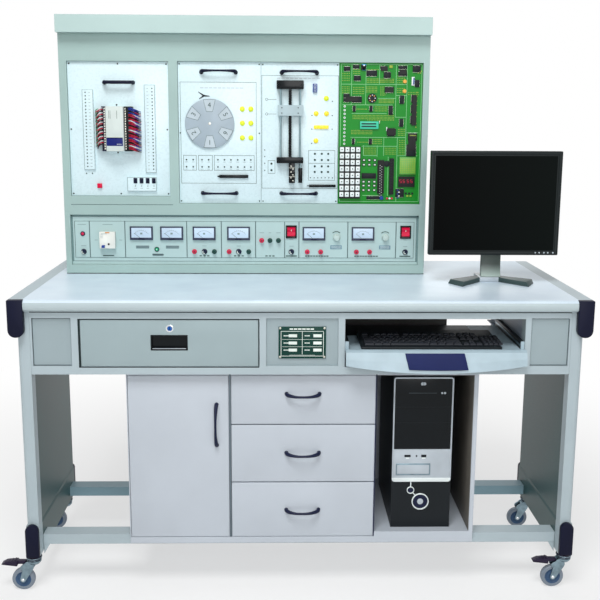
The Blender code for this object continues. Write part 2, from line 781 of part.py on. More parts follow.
# Casters: each fork trails to the left of its stem, and the front ones have a brake pedal
def caster_fork(stem_x, y):
    """Stem, swivel head, crown, two legs with lever lugs, and the axle."""
    x = stem_x - CASTER_TRAIL
    z = WHEEL_RADIUS
    crown = z + CROWN_RISE + CROWN_THICK
    head = rod("Z", (stem_x, y), SWIVEL_RADIUS, (crown - 2 * LAP, FOOT_BASE - FIT))
    stem = rod("Z", (stem_x, y), STEM_RADIUS, (crown, FOOT_BASE + STEM_TALL))
    plate = box((x, stem_x + CROWN_REACH - LAP), span(y, FORK_OUTER - FORK_THICK / 2),
                (crown - CROWN_THICK + LAP / 2, crown - LAP / 2))
    outline = [(x - AXLE_LAND, z - AXLE_LAND), (x + AXLE_LAND, z - AXLE_LAND),
               (stem_x + CROWN_REACH, crown - CROWN_THICK), (stem_x + CROWN_REACH, crown),
               (x + LUG_BACK, crown), (x + LUG_BACK, crown + LUG_TALL),
               (x + LUG_BACK - LUG_WIDE, crown + LUG_TALL), (x - AXLE_LAND / 2, crown),
               (x - AXLE_LAND, z + LEG_WAIST)]
    legs = [prism("Y", outline, ends) for ends in
            ((y - FORK_OUTER, y - FORK_INNER), (y + FORK_INNER, y + FORK_OUTER))]
    axle = rod("Y", (x, z), AXLE_RADIUS, span(y, FORK_OUTER - LAP), PIN_SIDES)
    return join(plate, *legs, head, stem, axle)


def caster_wheel(x, y):
    rim = WHEEL_RADIUS / cos(pi / WHEEL_SIDES)
    half = WHEEL_WIDE / 2
    profile = [(AXLE_RADIUS + FIT, y - half), (rim - WHEEL_CHAMFER, y - half),
               (rim, y - half + WHEEL_CHAMFER), (rim, y + half - WHEEL_CHAMFER),
               (rim - WHEEL_CHAMFER, y + half), (AXLE_RADIUS + FIT, y + half)]
    return turned("Y", (x, WHEEL_RADIUS), profile, WHEEL_SIDES, pi / WHEEL_SIDES)


def brake_lever(x, y):
    pivot = (x + LEVER_PIVOT_X, WHEEL_RADIUS + LEVER_PIVOT_Z)
    tip = x - LEVER_REACH
    thick = span(pivot[1], LEVER_THICK / 2)
    hub = rod("Y", pivot, LEVER_HUB, span(y, FORK_INNER - FIT), PIN_SIDES)
    arm = box((tip + LAP, pivot[0]), span(y, LEVER_WIDE / 2), thick)
    pedal = box((tip, tip + PEDAL_LONG), span(y, PEDAL_WIDE / 2),
                (thick[0] - LAP / 2, thick[1] + LAP / 2))
    return join(hub, arm, pedal)


first = {}
for row, y in (("front", CASTER_FRONT_Y), ("rear", CASTER_REAR_Y)):
    for label, side in SIDES.items():
        stem_x = side * CASTER_X
        wheel_x = stem_x - CASTER_TRAIL
        if not first:
            first["fork"] = place(f"{label}_{row}_fork", caster_fork(stem_x, y), "zinc",
                                  (stem_x, y, FOOT_BASE), True)
            first["wheel"] = place(f"{label}_{row}_wheel", caster_wheel(wheel_x, y), "wheel",
                                   (wheel_x, y, WHEEL_RADIUS), True)
            first["lever"] = place(f"{label}_{row}_brake_lever", brake_lever(wheel_x, y), "pedal",
                                   (wheel_x + LEVER_PIVOT_X, y, WHEEL_RADIUS + LEVER_PIVOT_Z), True)
            continue
        move = (stem_x + CASTER_X, y - CASTER_FRONT_Y, 0)
        twin(f"{label}_{row}_fork", first["fork"], move)
        twin(f"{label}_{row}_wheel", first["wheel"], move)
        if row == "front":
            twin(f"{label}_{row}_brake_lever", first["lever"], move)


# Cabinet: cupboard, drawer stack and open tower bay between upright sheets
def carcass():
    inside_rear = CABINET_REAR - SHEET
    notch_y = (CABINET_FRONT - OVERRUN, CABINET_FRONT + FRONT_THICK + SEAM)
    body = box((CABINET_LEFT, CABINET_RIGHT), (CABINET_FRONT, CABINET_REAR), (PLINTH_BASE, CABINET_TOP))
    under = box((CABINET_LEFT - OVERRUN, CABINET_RIGHT + OVERRUN),
                (FRONT_RAIL_Y - FIT, CABINET_REAR + OVERRUN), (PLINTH_BASE - OVERRUN, CABINET_BASE))
    body = cut(body, under)
    for left, right in ((CABINET_INSIDE, DOOR_BAY_RIGHT), (STACK_LEFT, STACK_RIGHT)):
        notch = box((left, right), notch_y, (PLINTH_TOP, FRONT_TOP))
        inside = box((left, right), (CABINET_FRONT + FRONT_THICK, inside_rear),
                     (CABINET_FLOOR, CABINET_TOP - SHEET))
        cut(body, join(notch, inside))
    bay = box((TOWER_BAY_LEFT, TOWER_BAY_RIGHT), (CABINET_FRONT - OVERRUN, inside_rear),
              (TOWER_BAY_FLOOR, FRONT_TOP))
    hollow_floor = box((TOWER_BAY_LEFT, TOWER_BAY_RIGHT), (FRONT_RAIL_Y + SHEET, inside_rear),
                       (PLINTH_BASE, TOWER_BAY_FLOOR - SHEET))
    hollow_wall = box((TOWER_BAY_RIGHT + SHEET, CABINET_RIGHT - SHEET),
                      (CABINET_FRONT + FRONT_THICK, CABINET_REAR + OVERRUN),
                      (CABINET_FLOOR, CABINET_TOP - SHEET))
    cut(body, bay, hollow_floor, hollow_wall)
    return body


def cabinet_door():
    """A pan door with its bow handle upright near the free edge."""
    x = (CABINET_INSIDE + SEAM, DOOR_BAY_RIGHT - SEAM)
    z = (PLINTH_TOP + SEAM, FRONT_TOP - SEAM)
    pan = box(x, (CABINET_FRONT, CABINET_FRONT + FRONT_THICK), z)
    hollow = box((x[0] + FRONT_RIM, x[1] - FRONT_RIM),
                 (CABINET_FRONT + SHEET, CABINET_FRONT + FRONT_THICK + OVERRUN),
                 (z[0] + FRONT_RIM, z[1] - FRONT_RIM))
    handle = bow((DOOR_BOW_BASE, DOOR_BOW_TOP), CABINET_FRONT, BOW_OUT, BOW_RADIUS, upright=DOOR_BOW_X)
    return join(cut(pan, hollow), handle)


def cabinet_drawer(base, top, box_base, bow_z):
    x = (STACK_LEFT + SEAM, STACK_RIGHT - SEAM)
    front = box(x, (CABINET_FRONT, CABINET_FRONT + FRONT_THICK), (base, top))
    case = box(x, (CABINET_FRONT + LAP, DRAWER_REAR), (box_base, top - DRAWER_BOX_DROP))
    inside = box((x[0] + SHEET, x[1] - SHEET), (CABINET_FRONT + SHEET, DRAWER_REAR - SHEET),
                 (box_base + SHEET, top - FRONT_RIM))
    handle = bow((DRAWER_BOW_LEFT, DRAWER_BOW_RIGHT), CABINET_FRONT, BOW_OUT, BOW_RADIUS, level=bow_z)
    return join(cut(join(front, case), inside), handle)


place("cabinet_carcass", carcass(), "cabinet grey")
place("cabinet_door", cabinet_door(), "cabinet grey",
      (CABINET_INSIDE + SEAM, CABINET_FRONT, PLINTH_TOP + SEAM))
stack_middle = (STACK_LEFT + STACK_RIGHT) / 2
drawer_bases = [PLINTH_TOP + SEAM, *[split + SPLIT_GAP / 2 for split in DRAWER_SPLITS]]
drawer_tops = [*[split - SPLIT_GAP / 2 for split in DRAWER_SPLITS], FRONT_TOP - SEAM]
drawer_names = ("lower", "middle", "upper")
for label, base, top, bow_z in zip(drawer_names, drawer_bases, drawer_tops, DRAWER_BOW_HEIGHTS):
    box_base = CABINET_FLOOR + FIT if label == "lower" else base + DRAWER_BOX_LIFT
    place(f"{label}_drawer", cabinet_drawer(base, top, box_base, bow_z), "cabinet grey",
          (stack_middle, CABINET_FRONT, base))


# Computer tower: an open-fronted case and its bezel
def tower():
    z = (TOWER_BAY_FLOOR + FIT, TOWER_TOP)
    case = box((TOWER_LEFT, TOWER_RIGHT), (TOWER_FRONT, TOWER_REAR), z)
    hollow = box((TOWER_LEFT + TOWER_SHEET, TOWER_RIGHT - TOWER_SHEET),
                 (TOWER_FRONT + TOWER_SHEET, TOWER_REAR - TOWER_SHEET),
                 (z[0] + TOWER_SHEET, z[1] - TOWER_SHEET))
    mouth = box((TOWER_LEFT + TOWER_MOUTH_RIM, TOWER_RIGHT - TOWER_MOUTH_RIM),
                (TOWER_FRONT - OVERRUN, TOWER_FRONT + 2 * TOWER_SHEET),
                (BEZEL_BASE + TOWER_MOUTH_RIM, TOWER_TOP - TOWER_MOUTH_RIM))
    return cut(case, join(hollow, mouth))


place("tower_case", tower(), "tower black")
bezel_x = (TOWER_LEFT, TOWER_RIGHT - BEZEL_INSET)
bezel = prism("Y", rounded([(bezel_x[0], BEZEL_BASE, BEZEL_ROUND), (bezel_x[1], BEZEL_BASE, BEZEL_ROUND),
                            (bezel_x[1], TOWER_TOP, BEZEL_ROUND), (bezel_x[0], TOWER_TOP, BEZEL_ROUND)]),
              (TOWER_FRONT - FIT - BEZEL_THICK, TOWER_FRONT - FIT))
place("tower_bezel", bezel, "tower black")


on_floor = len(nodes)


# Desk housing: a front sheet with recesses, walls of the drawer and tray bays, and at the back a
# tie and the sheet that closes most of the tray bay
def housing():
    front = box(span(0, HOUSE_HALF), (FACE_Y, FACE_Y + SHEET), (HOUSE_BASE, HOUSE_TOP))
    cup_y = (FACE_Y + LAP, FACE_Y + RECESS_DEEP + SHEET)
    wells = [(mirrored((BLANK_INNER, BLANK_OUTER), side), (BLANK_BASE, BLANK_TOP)) for side in SIDES.values()]
    wells.append((span(0, INFO_HALF), (BLANK_BASE, BLANK_TOP)))
    cups = [box((x[0] - SHEET, x[1] + SHEET), cup_y, (z[0] - SHEET, z[1] + SHEET)) for x, z in wells]
    wall_y = (FACE_Y + LAP, HOUSE_REAR)
    wall_z = (DRAWER_BAY_BASE - SHEET, HOUSE_TOP)
    walls = [box((edge - SHEET, edge), wall_y, wall_z) for edge in (DRAWER_BAY_LEFT, TRAY_BAY_LEFT)]
    walls += [box((edge, edge + SHEET), wall_y, wall_z) for edge in (DRAWER_BAY_RIGHT, TRAY_BAY_RIGHT)]
    floor = box((DRAWER_BAY_LEFT - LAP, DRAWER_BAY_RIGHT + LAP), wall_y,
                (DRAWER_BAY_BASE - SHEET, DRAWER_BAY_BASE))
    rear_y = (HOUSE_REAR - SHEET, HOUSE_REAR)
    tie = box(span(0, HOUSE_HALF), rear_y, (TIE_BASE, HOUSE_TOP))
    sheet_right = REAR_SHEET_SHARE * HOUSE_HALF
    rear_sheet = box((TRAY_BAY_LEFT - LAP, sheet_right), rear_y, (REAR_SHEET_BASE, HOUSE_TOP - LAP))
    runner_z = (TRAY_TOP - TRAY_THICK - FIT - RUNNER_THICK, TRAY_TOP - TRAY_THICK - FIT)
    runners = [box(ends, wall_y, runner_z) for ends in
               ((TRAY_BAY_LEFT - LAP, TRAY_BAY_LEFT + RUNNER_WIDE),
                (TRAY_BAY_RIGHT - RUNNER_WIDE, TRAY_BAY_RIGHT + LAP))]
    body = join(front, *cups, *walls, floor, tie, rear_sheet, *runners)
    through = (FACE_Y - OVERRUN, FACE_Y + SHEET + OVERRUN)
    openings = [box((DRAWER_BAY_LEFT, DRAWER_BAY_RIGHT), through, (DRAWER_BAY_BASE, DRAWER_BAY_TOP)),
                box((TRAY_BAY_LEFT, TRAY_BAY_RIGHT), (FACE_Y - OVERRUN, FACE_Y + SHEET),
                    (TRAY_BAY_BASE, TRAY_BAY_TOP))]
    cut(body, *[box(x, (FACE_Y - OVERRUN, FACE_Y + RECESS_DEEP), z) for x, z in wells], *openings)
    plate_y = FACE_Y + RECESS_DEEP
    return join(body, box(span(0, INFO_PLATE_HALF), (plate_y - INFO_PLATE_RISE, plate_y + LAP),
                          (INFO_PLATE_BASE, INFO_PLATE_TOP)))


place("desk_housing", housing(), "frame grey")


# Desk drawer with its recessed pull, and the lock in it
def desk_drawer():
    x = (DRAWER_BAY_LEFT + DESK_FRONT_GAP, DRAWER_BAY_RIGHT - DESK_FRONT_GAP)
    base = DRAWER_BAY_BASE + FIT
    front = box(x, (FACE_Y, FACE_Y + DESK_DRAWER_THICK), (base, DRAWER_BAY_TOP - DESK_FRONT_GAP))
    box_x = (x[0] + DESK_BOX_INSET, x[1] - DESK_BOX_INSET)
    case = box(box_x, (FACE_Y + LAP, DESK_DRAWER_REAR), (base, DESK_BOX_TOP))
    inside = box((box_x[0] + SHEET, box_x[1] - SHEET), (FACE_Y + SHEET, DESK_DRAWER_REAR - SHEET),
                 (base + SHEET, DRAWER_BAY_TOP - DESK_FRONT_GAP - FRONT_RIM))
    cup = box((PULL_LEFT - SHEET, PULL_RIGHT + SHEET), (FACE_Y + LAP, FACE_Y + PULL_DEEP + SHEET),
              (PULL_BASE - SHEET, LOCK_Z + LOCK_RADIUS + SHEET))
    pull = box((PULL_LEFT, PULL_RIGHT), (FACE_Y - OVERRUN, FACE_Y + PULL_DEEP), (PULL_BASE, PULL_TOP))
    bore = rod("Y", (LOCK_X, LOCK_Z), LOCK_RADIUS + FIT, (FACE_Y - OVERRUN, FACE_Y + LOCK_DEEP))
    return cut(join(cut(join(front, case), inside), cup), pull, bore)


desk_drawer_middle = ((DRAWER_BAY_LEFT + DRAWER_BAY_RIGHT) / 2, FACE_Y, DRAWER_BAY_BASE)
place("desk_drawer", desk_drawer(), "cabinet grey", desk_drawer_middle)
place("drawer_lock", rod("Y", (LOCK_X, LOCK_Z), LOCK_RADIUS, (FACE_Y - LOCK_PROUD, FACE_Y + LOCK_DEEP - FIT)),
      "lock", (LOCK_X, FACE_Y, LOCK_Z), True)

# Keyboard tray: a floor on the runners, side rails and a moulded band rolled over its front
tray_left = TRAY_BAY_LEFT + SEAM
tray_right = TRAY_BAY_RIGHT - SEAM
tray_middle = (tray_left + tray_right) / 2


def band_front(x):
    """The band's outer line in a section at x, as (y, z) from its shoulder to its lower edge."""
    bow_share = 1 - ((x - tray_middle) / (tray_right - tray_middle)) ** 2
    low = Vector((-BAND_OUT_END - (BAND_OUT_MIDDLE - BAND_OUT_END) * bow_share,
                  BAND_LOW_END - (BAND_LOW_END - BAND_LOW_MIDDLE) * bow_share))
    shoulder = Vector((BAND_BACK - BAND_NOSE, BAND_TOP - BAND_DROP))
    return shoulder, (shoulder + low) / 2 + BAND_SWELL * outward(shoulder, low), low


def outward(high, low):
    run = (low - high).normalized()
    return Vector((run.y, -run.x))


def band_section(x):
    shoulder, middle, low = band_front(x)
    top = [Vector((BAND_BACK, BAND_TOP)), Vector((BAND_BACK - BAND_SHOULDER, BAND_TOP))]
    inward = -BAND_THICK * outward(shoulder, low)
    outer = [*top, shoulder, middle, low]
    inner = [point + inward for point in (low, middle, shoulder)]
    inner += [Vector((BAND_BACK - BAND_SHOULDER, BAND_TOP - BAND_THICK)),
              Vector((BAND_BACK, BAND_TOP - BAND_THICK))]
    return [(x, *point) for point in outer + inner]


def pad_section(x, stand):
    """The pad's line at a height over the band, slanted to the right as it goes down."""
    shoulder, middle, low = band_front(x)
    rise = stand * outward(shoulder, low)
    line = []
    for share in (PAD_TOP_SHARE, 1 / 2, PAD_BOTTOM_SHARE):
        upper, lower = (shoulder, middle) if share <= 1 / 2 else (middle, low)
        along = 2 * share if share <= 1 / 2 else 2 * share - 1
        line.append((x + PAD_SLANT * share, *(upper.lerp(lower, along) + rise)))
    return line


columns = [tray_left + (tray_right - tray_left) * index / BAND_COLUMNS for index in range(BAND_COLUMNS + 1)]
tray = box((tray_left, tray_right), (TRAY_FRONT, TRAY_REAR), (TRAY_TOP - TRAY_THICK, TRAY_TOP))
tray_rails = [box(ends, (TRAY_RAIL_FRONT, TRAY_REAR), (TRAY_TOP - LAP, TRAY_TOP + TRAY_RAIL_TALL)) for ends in
              ((tray_left, tray_left + TRAY_RAIL_WIDE), (tray_right - TRAY_RAIL_WIDE, tray_right))]
band = lofted([band_section(x) for x in columns])
place("keyboard_tray", join(tray, *tray_rails, band), "tray", (tray_middle, TRAY_FRONT, TRAY_TOP), True)

pad_columns = [PAD_LEFT + (PAD_RIGHT - PAD_LEFT) * index / PAD_COLUMNS for index in range(PAD_COLUMNS + 1)]
pad = lofted([pad_section(x, 2 * FIT) + pad_section(x, 2 * FIT + PAD_THICK)[::-1] for x in pad_columns])
place("wrist_pad", pad, "pad", smooth=True)

keyboard_z = TRAY_TOP + FIT
keyboard = prism("X", [(KEYBOARD_FRONT, keyboard_z), (KEYBOARD_FRONT + KEYBOARD_DEEP, keyboard_z),
                       (KEYBOARD_FRONT + KEYBOARD_DEEP, keyboard_z + KEYBOARD_REAR_TALL),
                       (KEYBOARD_FRONT, keyboard_z + KEYBOARD_FRONT_TALL)], (KEYBOARD_LEFT, KEYBOARD_RIGHT))
place("keyboard", keyboard, "keyboard")


# Monitor: a forked foot, a neck that swivels on it and a head that tilts on the neck's pin
def monitor_foot():
    z = (FIT, STAND_THICK)
    hub = box(span(MONITOR_X, NECK_WIDE / 2), (SWIVEL_Y - SWIVEL_HUB, STAND_REAR), z)
    for side in SIDES.values():
        tip = Vector((MONITOR_X + side * STAND_TIP_X, STAND_TIP_Y))
        root = Vector((MONITOR_X, SWIVEL_Y))
        run = (tip - root).normalized()
        across = Vector((-run.y, run.x)) * STAND_LEG_WIDE / 2
        corners = [root + across, root - across, tip - across - run * STAND_LEG_WIDE / 2, tip - across / 2,
                   tip + across / 2, tip + across - run * STAND_LEG_WIDE / 2]
        join(hub, prism("Z", corners, z))
    return hub


def monitor_neck():
    base = STAND_THICK + FIT
    hub = rod("Z", (MONITOR_X, SWIVEL_Y), SWIVEL_HUB, (base, base + STAND_THICK))
    column = box(span(MONITOR_X, NECK_WIDE / 2), (NECK_FRONT, NECK_FRONT + NECK_THICK),
                 (base + LAP, NECK_TOP))
    knuckle = box(span(MONITOR_X, KNUCKLE_HALF), (TILT_Y - TILT_LUG_HALF, NECK_FRONT + LAP),
                  span(TILT_Z, TILT_LUG_HALF))
    pin = rod("X", (TILT_Y, TILT_Z), TILT_PIN, span(MONITOR_X, KNUCKLE_HALF + TILT_LUG_THICK), PIN_SIDES)
    return join(column, hub, knuckle, pin)


def monitor_head():
    rear = MONITOR_FRONT + MONITOR_THICK
    shell = box(span(MONITOR_X, MONITOR_WIDE / 2), (MONITOR_FRONT, rear), (MONITOR_BASE, MONITOR_TOP))
    bulge = box(span(MONITOR_X, MONITOR_BULGE_HALF), (rear - LAP, rear + MONITOR_BULGE),
                (MONITOR_BULGE_BASE, MONITOR_BULGE_TOP))
    body = join(shell, bulge)
    inner = KNUCKLE_HALF + FIT
    for side in SIDES.values():
        ends = tuple(sorted((MONITOR_X + side * inner, MONITOR_X + side * (inner + TILT_LUG_THICK))))
        lug = box(ends, (rear + MONITOR_BULGE - LAP, TILT_Y + TILT_LUG_BACK), span(TILT_Z, TILT_LUG_HALF))
        join(body, lug)
    return cut(body, rod("X", (TILT_Y, TILT_Z), TILT_PIN + FIT,
                         span(MONITOR_X, inner + TILT_LUG_THICK + OVERRUN), PIN_SIDES))


place("monitor_base", monitor_foot(), "monitor black")
place("monitor_neck", monitor_neck(), "monitor black", (MONITOR_X, SWIVEL_Y, STAND_THICK))
place("monitor_head", monitor_head(), "monitor black", (MONITOR_X, TILT_Y, TILT_Z))


# Console: a sheet housing whose front has three framed bays, a hood over it and a cover behind
def console():
    inside_front = CONSOLE_FRONT + FRAME_SHEET
    body = box((CONSOLE_LEFT, CONSOLE_RIGHT), (CONSOLE_FRONT, CONSOLE_REAR), (CONSOLE_BASE, CONSOLE_TOP))
    inside = box((CONSOLE_LEFT + CONSOLE_SHEET, CONSOLE_RIGHT - CONSOLE_SHEET),
                 (inside_front, CONSOLE_REAR + OVERRUN),
                 (CONSOLE_BASE + CONSOLE_SHEET, CONSOLE_TOP - CONSOLE_SHEET))
    cut(body, inside)
    bays = [((PLC_BAY_LEFT, PLC_BAY_RIGHT), (PLC_BAY_BASE, PLC_BAY_TOP)),
            ((WORK_BAY_LEFT, WORK_BAY_RIGHT), (WORK_BAY_BASE, WORK_BAY_TOP)),
            ((POWER_BAY_LEFT, POWER_BAY_RIGHT), (POWER_BAY_BASE, POWER_BAY_TOP))]
    lip_rear = CONSOLE_FRONT + REVEAL + LIP_THICK
    for x, z in bays:
        collar = box((x[0] - CONSOLE_SHEET, x[1] + CONSOLE_SHEET), (CONSOLE_FRONT + LAP, lip_rear),
                     (z[0] - CONSOLE_SHEET, z[1] + CONSOLE_SHEET))
        join(body, collar)
    for x, z in bays:
        cut(body, box(x, (CONSOLE_FRONT - OVERRUN, CONSOLE_FRONT + REVEAL), z))
    splits = [(WORK_BAY_LEFT + LIP_WIDE, -MULLION_X - MULLION_WIDE / 2),
              (-MULLION_X + MULLION_WIDE / 2, MULLION_X - MULLION_WIDE / 2),
              (MULLION_X + MULLION_WIDE / 2, WORK_BAY_RIGHT - LIP_WIDE)]
    holes = [((PLC_BAY_LEFT + LIP_WIDE, PLC_BAY_RIGHT - LIP_WIDE), bays[0][1])]
    holes += [(ends, bays[1][1]) for ends in splits]
    holes += [((POWER_BAY_LEFT + LIP_WIDE, POWER_BAY_RIGHT - LIP_WIDE), bays[2][1])]
    for x, z in holes:
        cut(body, box(x, (CONSOLE_FRONT + REVEAL - LAP, lip_rear + OVERRUN),
                      (z[0] + LIP_WIDE, z[1] - LIP_WIDE)))
    return body


def hood():
    """A hollow hood, open where it stands on the housing."""
    x, y, z = (CONSOLE_LEFT, CONSOLE_RIGHT), (HOOD_FRONT, CONSOLE_REAR), (HOOD_BASE, HOOD_TOP)
    hollow = [(low + CONSOLE_SHEET, high - CONSOLE_SHEET) for low, high in (x, y, z)]
    mouth = box((x[0] + HOOD_MOUTH_RIM, x[1] - HOOD_MOUTH_RIM),
                (CONSOLE_FRONT + HOOD_MOUTH_RIM, CONSOLE_REAR - HOOD_MOUTH_RIM),
                (HOOD_BASE - OVERRUN, HOOD_BASE + 2 * CONSOLE_SHEET))
    return cut(box(x, y, z), join(box(*hollow), mouth))


place("console_housing", console(), "console green")
place("console_hood", hood(), "hood green")
place("back_cover", box((CONSOLE_LEFT + BACK_COVER_INSET, CONSOLE_RIGHT - BACK_COVER_INSET),
                        (CONSOLE_REAR + FIT, CONSOLE_REAR + FIT + BACK_COVER_THICK),
                        (CONSOLE_BASE + BACK_COVER_INSET, CONSOLE_TOP - BACK_COVER_INSET)), "console green")


def board(x, z):
    """A flat board that fits its bay and lies on the lip."""
    return box((x[0] + BOARD_FIT, x[1] - BOARD_FIT), (BOARD_FACE, BOARD_BACK),
               (z[0] + BOARD_FIT, z[1] - BOARD_FIT))


def raised(x, z, rise, face=BOARD_FACE):
    return box(x, (face - rise, face + LAP), z)


def slot(x, half, deep, z, tall):
    """A cutter for a lever's slot, from the face that the lever stands out of."""
    return box(span(x, half), (deep[0] - OVERRUN, deep[1]), span(z, tall))


# Controller board with its socket strips, switch box and button, and the unit and toggles on it
def plc_board():
    body = board((PLC_BAY_LEFT, PLC_BAY_RIGHT), (PLC_BAY_BASE, PLC_BAY_TOP))
    join(body, raised(LEFT_STRIP_X, LEFT_STRIP_Z, STRIP_RISE),
         raised(RIGHT_STRIP_X, RIGHT_STRIP_Z, STRIP_RISE),
         raised(SWITCH_BOX_X, SWITCH_BOX_Z, SWITCH_BOX_RISE),
         rod("Y", (BUTTON_X, BUTTON_Z), BUTTON_RADIUS, (BOARD_FACE - BUTTON_RISE, BOARD_FACE + LAP)),
         bow(PLC_BOW_X, BOARD_FACE, WORK_BOW_OUT, WORK_BOW_RADIUS, level=PLC_BOW_Z))
    face = BOARD_FACE - SWITCH_BOX_RISE
    for index in range(TOGGLES):
        x = TOGGLE_FIRST_X + index * TOGGLE_PITCH
        cut(body, slot(x, TOGGLE_HALF + FIT, (face, face + TOGGLE_SLOT_DEEP), TOGGLE_Z, TOGGLE_SLOT_HALF))
    return body


def lever(pivot, hub, half, long, thick, lean, sides=PIN_SIDES):
    """A hub along X with a stick that points to the front and leans down."""
    x, y, z = pivot
    run = Vector((-cos(lean), -sin(lean)))
    across = Vector((-run.y, run.x)) * thick / 2
    root, tip = Vector((y, z)), Vector((y, z)) + run * long
    stick = prism("X", [root + across, root - across, tip - across, tip + across], span(x, half - LAP / 2))
    return join(rod("X", (y, z), hub, span(x, half), sides), stick)


place("plc_board", plc_board(), "board white")
unit = join(box(UNIT_X, (BOARD_FACE - FIT - UNIT_DEEP, BOARD_FACE - FIT), UNIT_Z),
            box(UNIT_BODY_X, (BOARD_FACE - FIT - UNIT_BODY_DEEP, BOARD_FACE - FIT - LAP),
                (UNIT_Z[0] + LAP, UNIT_Z[1] - LAP)))
place("plc_unit", unit, "unit grey")
toggle_at = (TOGGLE_FIRST_X, BOARD_FACE - SWITCH_BOX_RISE + TOGGLE_DEEP, TOGGLE_Z)
toggle_shape = lever(toggle_at, TOGGLE_HUB, TOGGLE_HALF, TOGGLE_LONG, 2 * TOGGLE_STICK, TOGGLE_LEAN)
toggle = place("toggle_1", toggle_shape, "toggle", toggle_at)
for index in range(1, TOGGLES):
    twin(f"toggle_{index + 1}", toggle, (index * TOGGLE_PITCH, 0, 0))


# Boards of the work bay
def work_board(left, right, bow_x=None):
    body = board((left, right), (WORK_BAY_BASE, WORK_BAY_TOP))
    if bow_x:
        for level in (WORK_BOW_LOW, WORK_BOW_HIGH):
            join(body, bow(bow_x, BOARD_FACE, WORK_BOW_OUT, WORK_BOW_RADIUS, level=level))
    return body


tool_board = work_board(WORK_BAY_LEFT, -MULLION_X, TOOL_BOW_X)
pin_front = BOARD_FACE - DISC_STAND - DISC_THICK
join(tool_board, raised(TOOL_BAR_X, span(TOOL_BAR_Z, BAR_TALL / 2), BAR_RISE),
     rod("Y", (DISC_X, DISC_Z), DISC_PIN, (pin_front, BOARD_FACE + LAP)))
place("tool_magazine_board", tool_board, "board white")
disc = turned("Y", (DISC_X, DISC_Z),
              [(DISC_PIN + FIT, pin_front), (DISC_RADIUS, pin_front), (DISC_RADIUS, pin_front + DISC_THICK),
               (DISC_HUB, pin_front + DISC_THICK), (DISC_HUB, BOARD_FACE - FIT),
               (DISC_PIN + FIT, BOARD_FACE - FIT)],
              DISC_SIDES)
place("tool_disc", disc, "disc", (DISC_X, pin_front, DISC_Z), True)

motion_board = work_board(-MULLION_X, MULLION_X, MOTION_BOW_X)
join(motion_board, raised(MOTION_BAR_X, span(MOTION_BAR_Z, BAR_TALL / 2), BAR_RISE))
place("positioning_board", motion_board, "board white")

back = BOARD_FACE - FIT
rod_y = back - GUIDE_ROD_OUT
guide = box(GUIDE_X, (back - GUIDE_DEEP, back), GUIDE_HEAD_Z)
foot_block = box(GUIDE_X, (back - GUIDE_DEEP, back), GUIDE_FOOT_Z)
rods = [rod("Z", (x, rod_y), GUIDE_ROD, (GUIDE_FOOT_Z[1] - LAP, GUIDE_HEAD_Z[0] + LAP), PIN_SIDES)
        for x in GUIDE_ROD_X]
motor = box(MOTOR_X, (back - MOTOR_FRONT, back), (MOTOR_Z, GUIDE_FOOT_Z[0] + LAP))
piston = rod("Z", (PISTON_X, rod_y), PISTON_RADIUS, PISTON_Z, PIN_SIDES)
stem_z = (PISTON_Z[1] - LAP, GUIDE_FOOT_Z[0] + LAP)
piston_stem = rod("Z", (PISTON_X, rod_y), PISTON_RADIUS / 2, stem_z, PIN_SIDES)
guide = join(rods[0], guide, foot_block, rods[1], motor, piston, piston_stem)
journals = rod("Z", (SCREW_X, rod_y), SCREW_JOURNAL + FIT,
               (GUIDE_FOOT_Z[1] - SCREW_JOURNAL_LONG, GUIDE_HEAD_Z[0] + SCREW_JOURNAL_LONG))
place("guide_frame", cut(guide, journals), "machined")
screw_ends = (GUIDE_FOOT_Z[1] - SCREW_JOURNAL_LONG + FIT, GUIDE_HEAD_Z[0] + SCREW_JOURNAL_LONG - FIT)
screw = join(rod("Z", (SCREW_X, rod_y), SCREW_RADIUS, (GUIDE_FOOT_Z[1] + FIT, GUIDE_HEAD_Z[0] - FIT)),
             rod("Z", (SCREW_X, rod_y), SCREW_JOURNAL, screw_ends))
place("lead_screw", screw, "machined", (SCREW_X, rod_y, GUIDE_FOOT_Z[1]), True)
carriage = box(CARRIAGE_X, (back - GUIDE_DEEP, back - CARRIAGE_BACK), CARRIAGE_Z)
bore_z = (CARRIAGE_Z[0] - OVERRUN, CARRIAGE_Z[1] + OVERRUN)
bores = [rod("Z", (x, rod_y), GUIDE_ROD + FIT, bore_z, PIN_SIDES) for x in GUIDE_ROD_X]
place("carriage", cut(carriage, *bores, rod("Z", (SCREW_X, rod_y), SCREW_RADIUS + FIT, bore_z)), "machined")


def from_shares(share, x, z):
    """Limits of a raised part from its middle and size as shares of a board between x and z."""
    wide, tall = x[1] - x[0], z[1] - z[0]
    return (span(x[0] + share[0] * wide, share[2] * wide / 2),
            span(z[0] + share[1] * tall, share[3] * tall / 2))


circuit_x, circuit_z = (MULLION_X + BOARD_FIT, WORK_BAY_RIGHT - BOARD_FIT), (WORK_BAY_BASE, WORK_BAY_TOP)
circuit = work_board(MULLION_X, WORK_BAY_RIGHT)
join(circuit, raised(*from_shares(KEYPAD_SHARES, circuit_x, circuit_z), KEYPAD_RISE))
for share in CHIP_SHARES:
    join(circuit, raised(*from_shares(share, circuit_x, circuit_z), CHIP_RISE))
place("microcontroller_board", circuit, "circuit green")


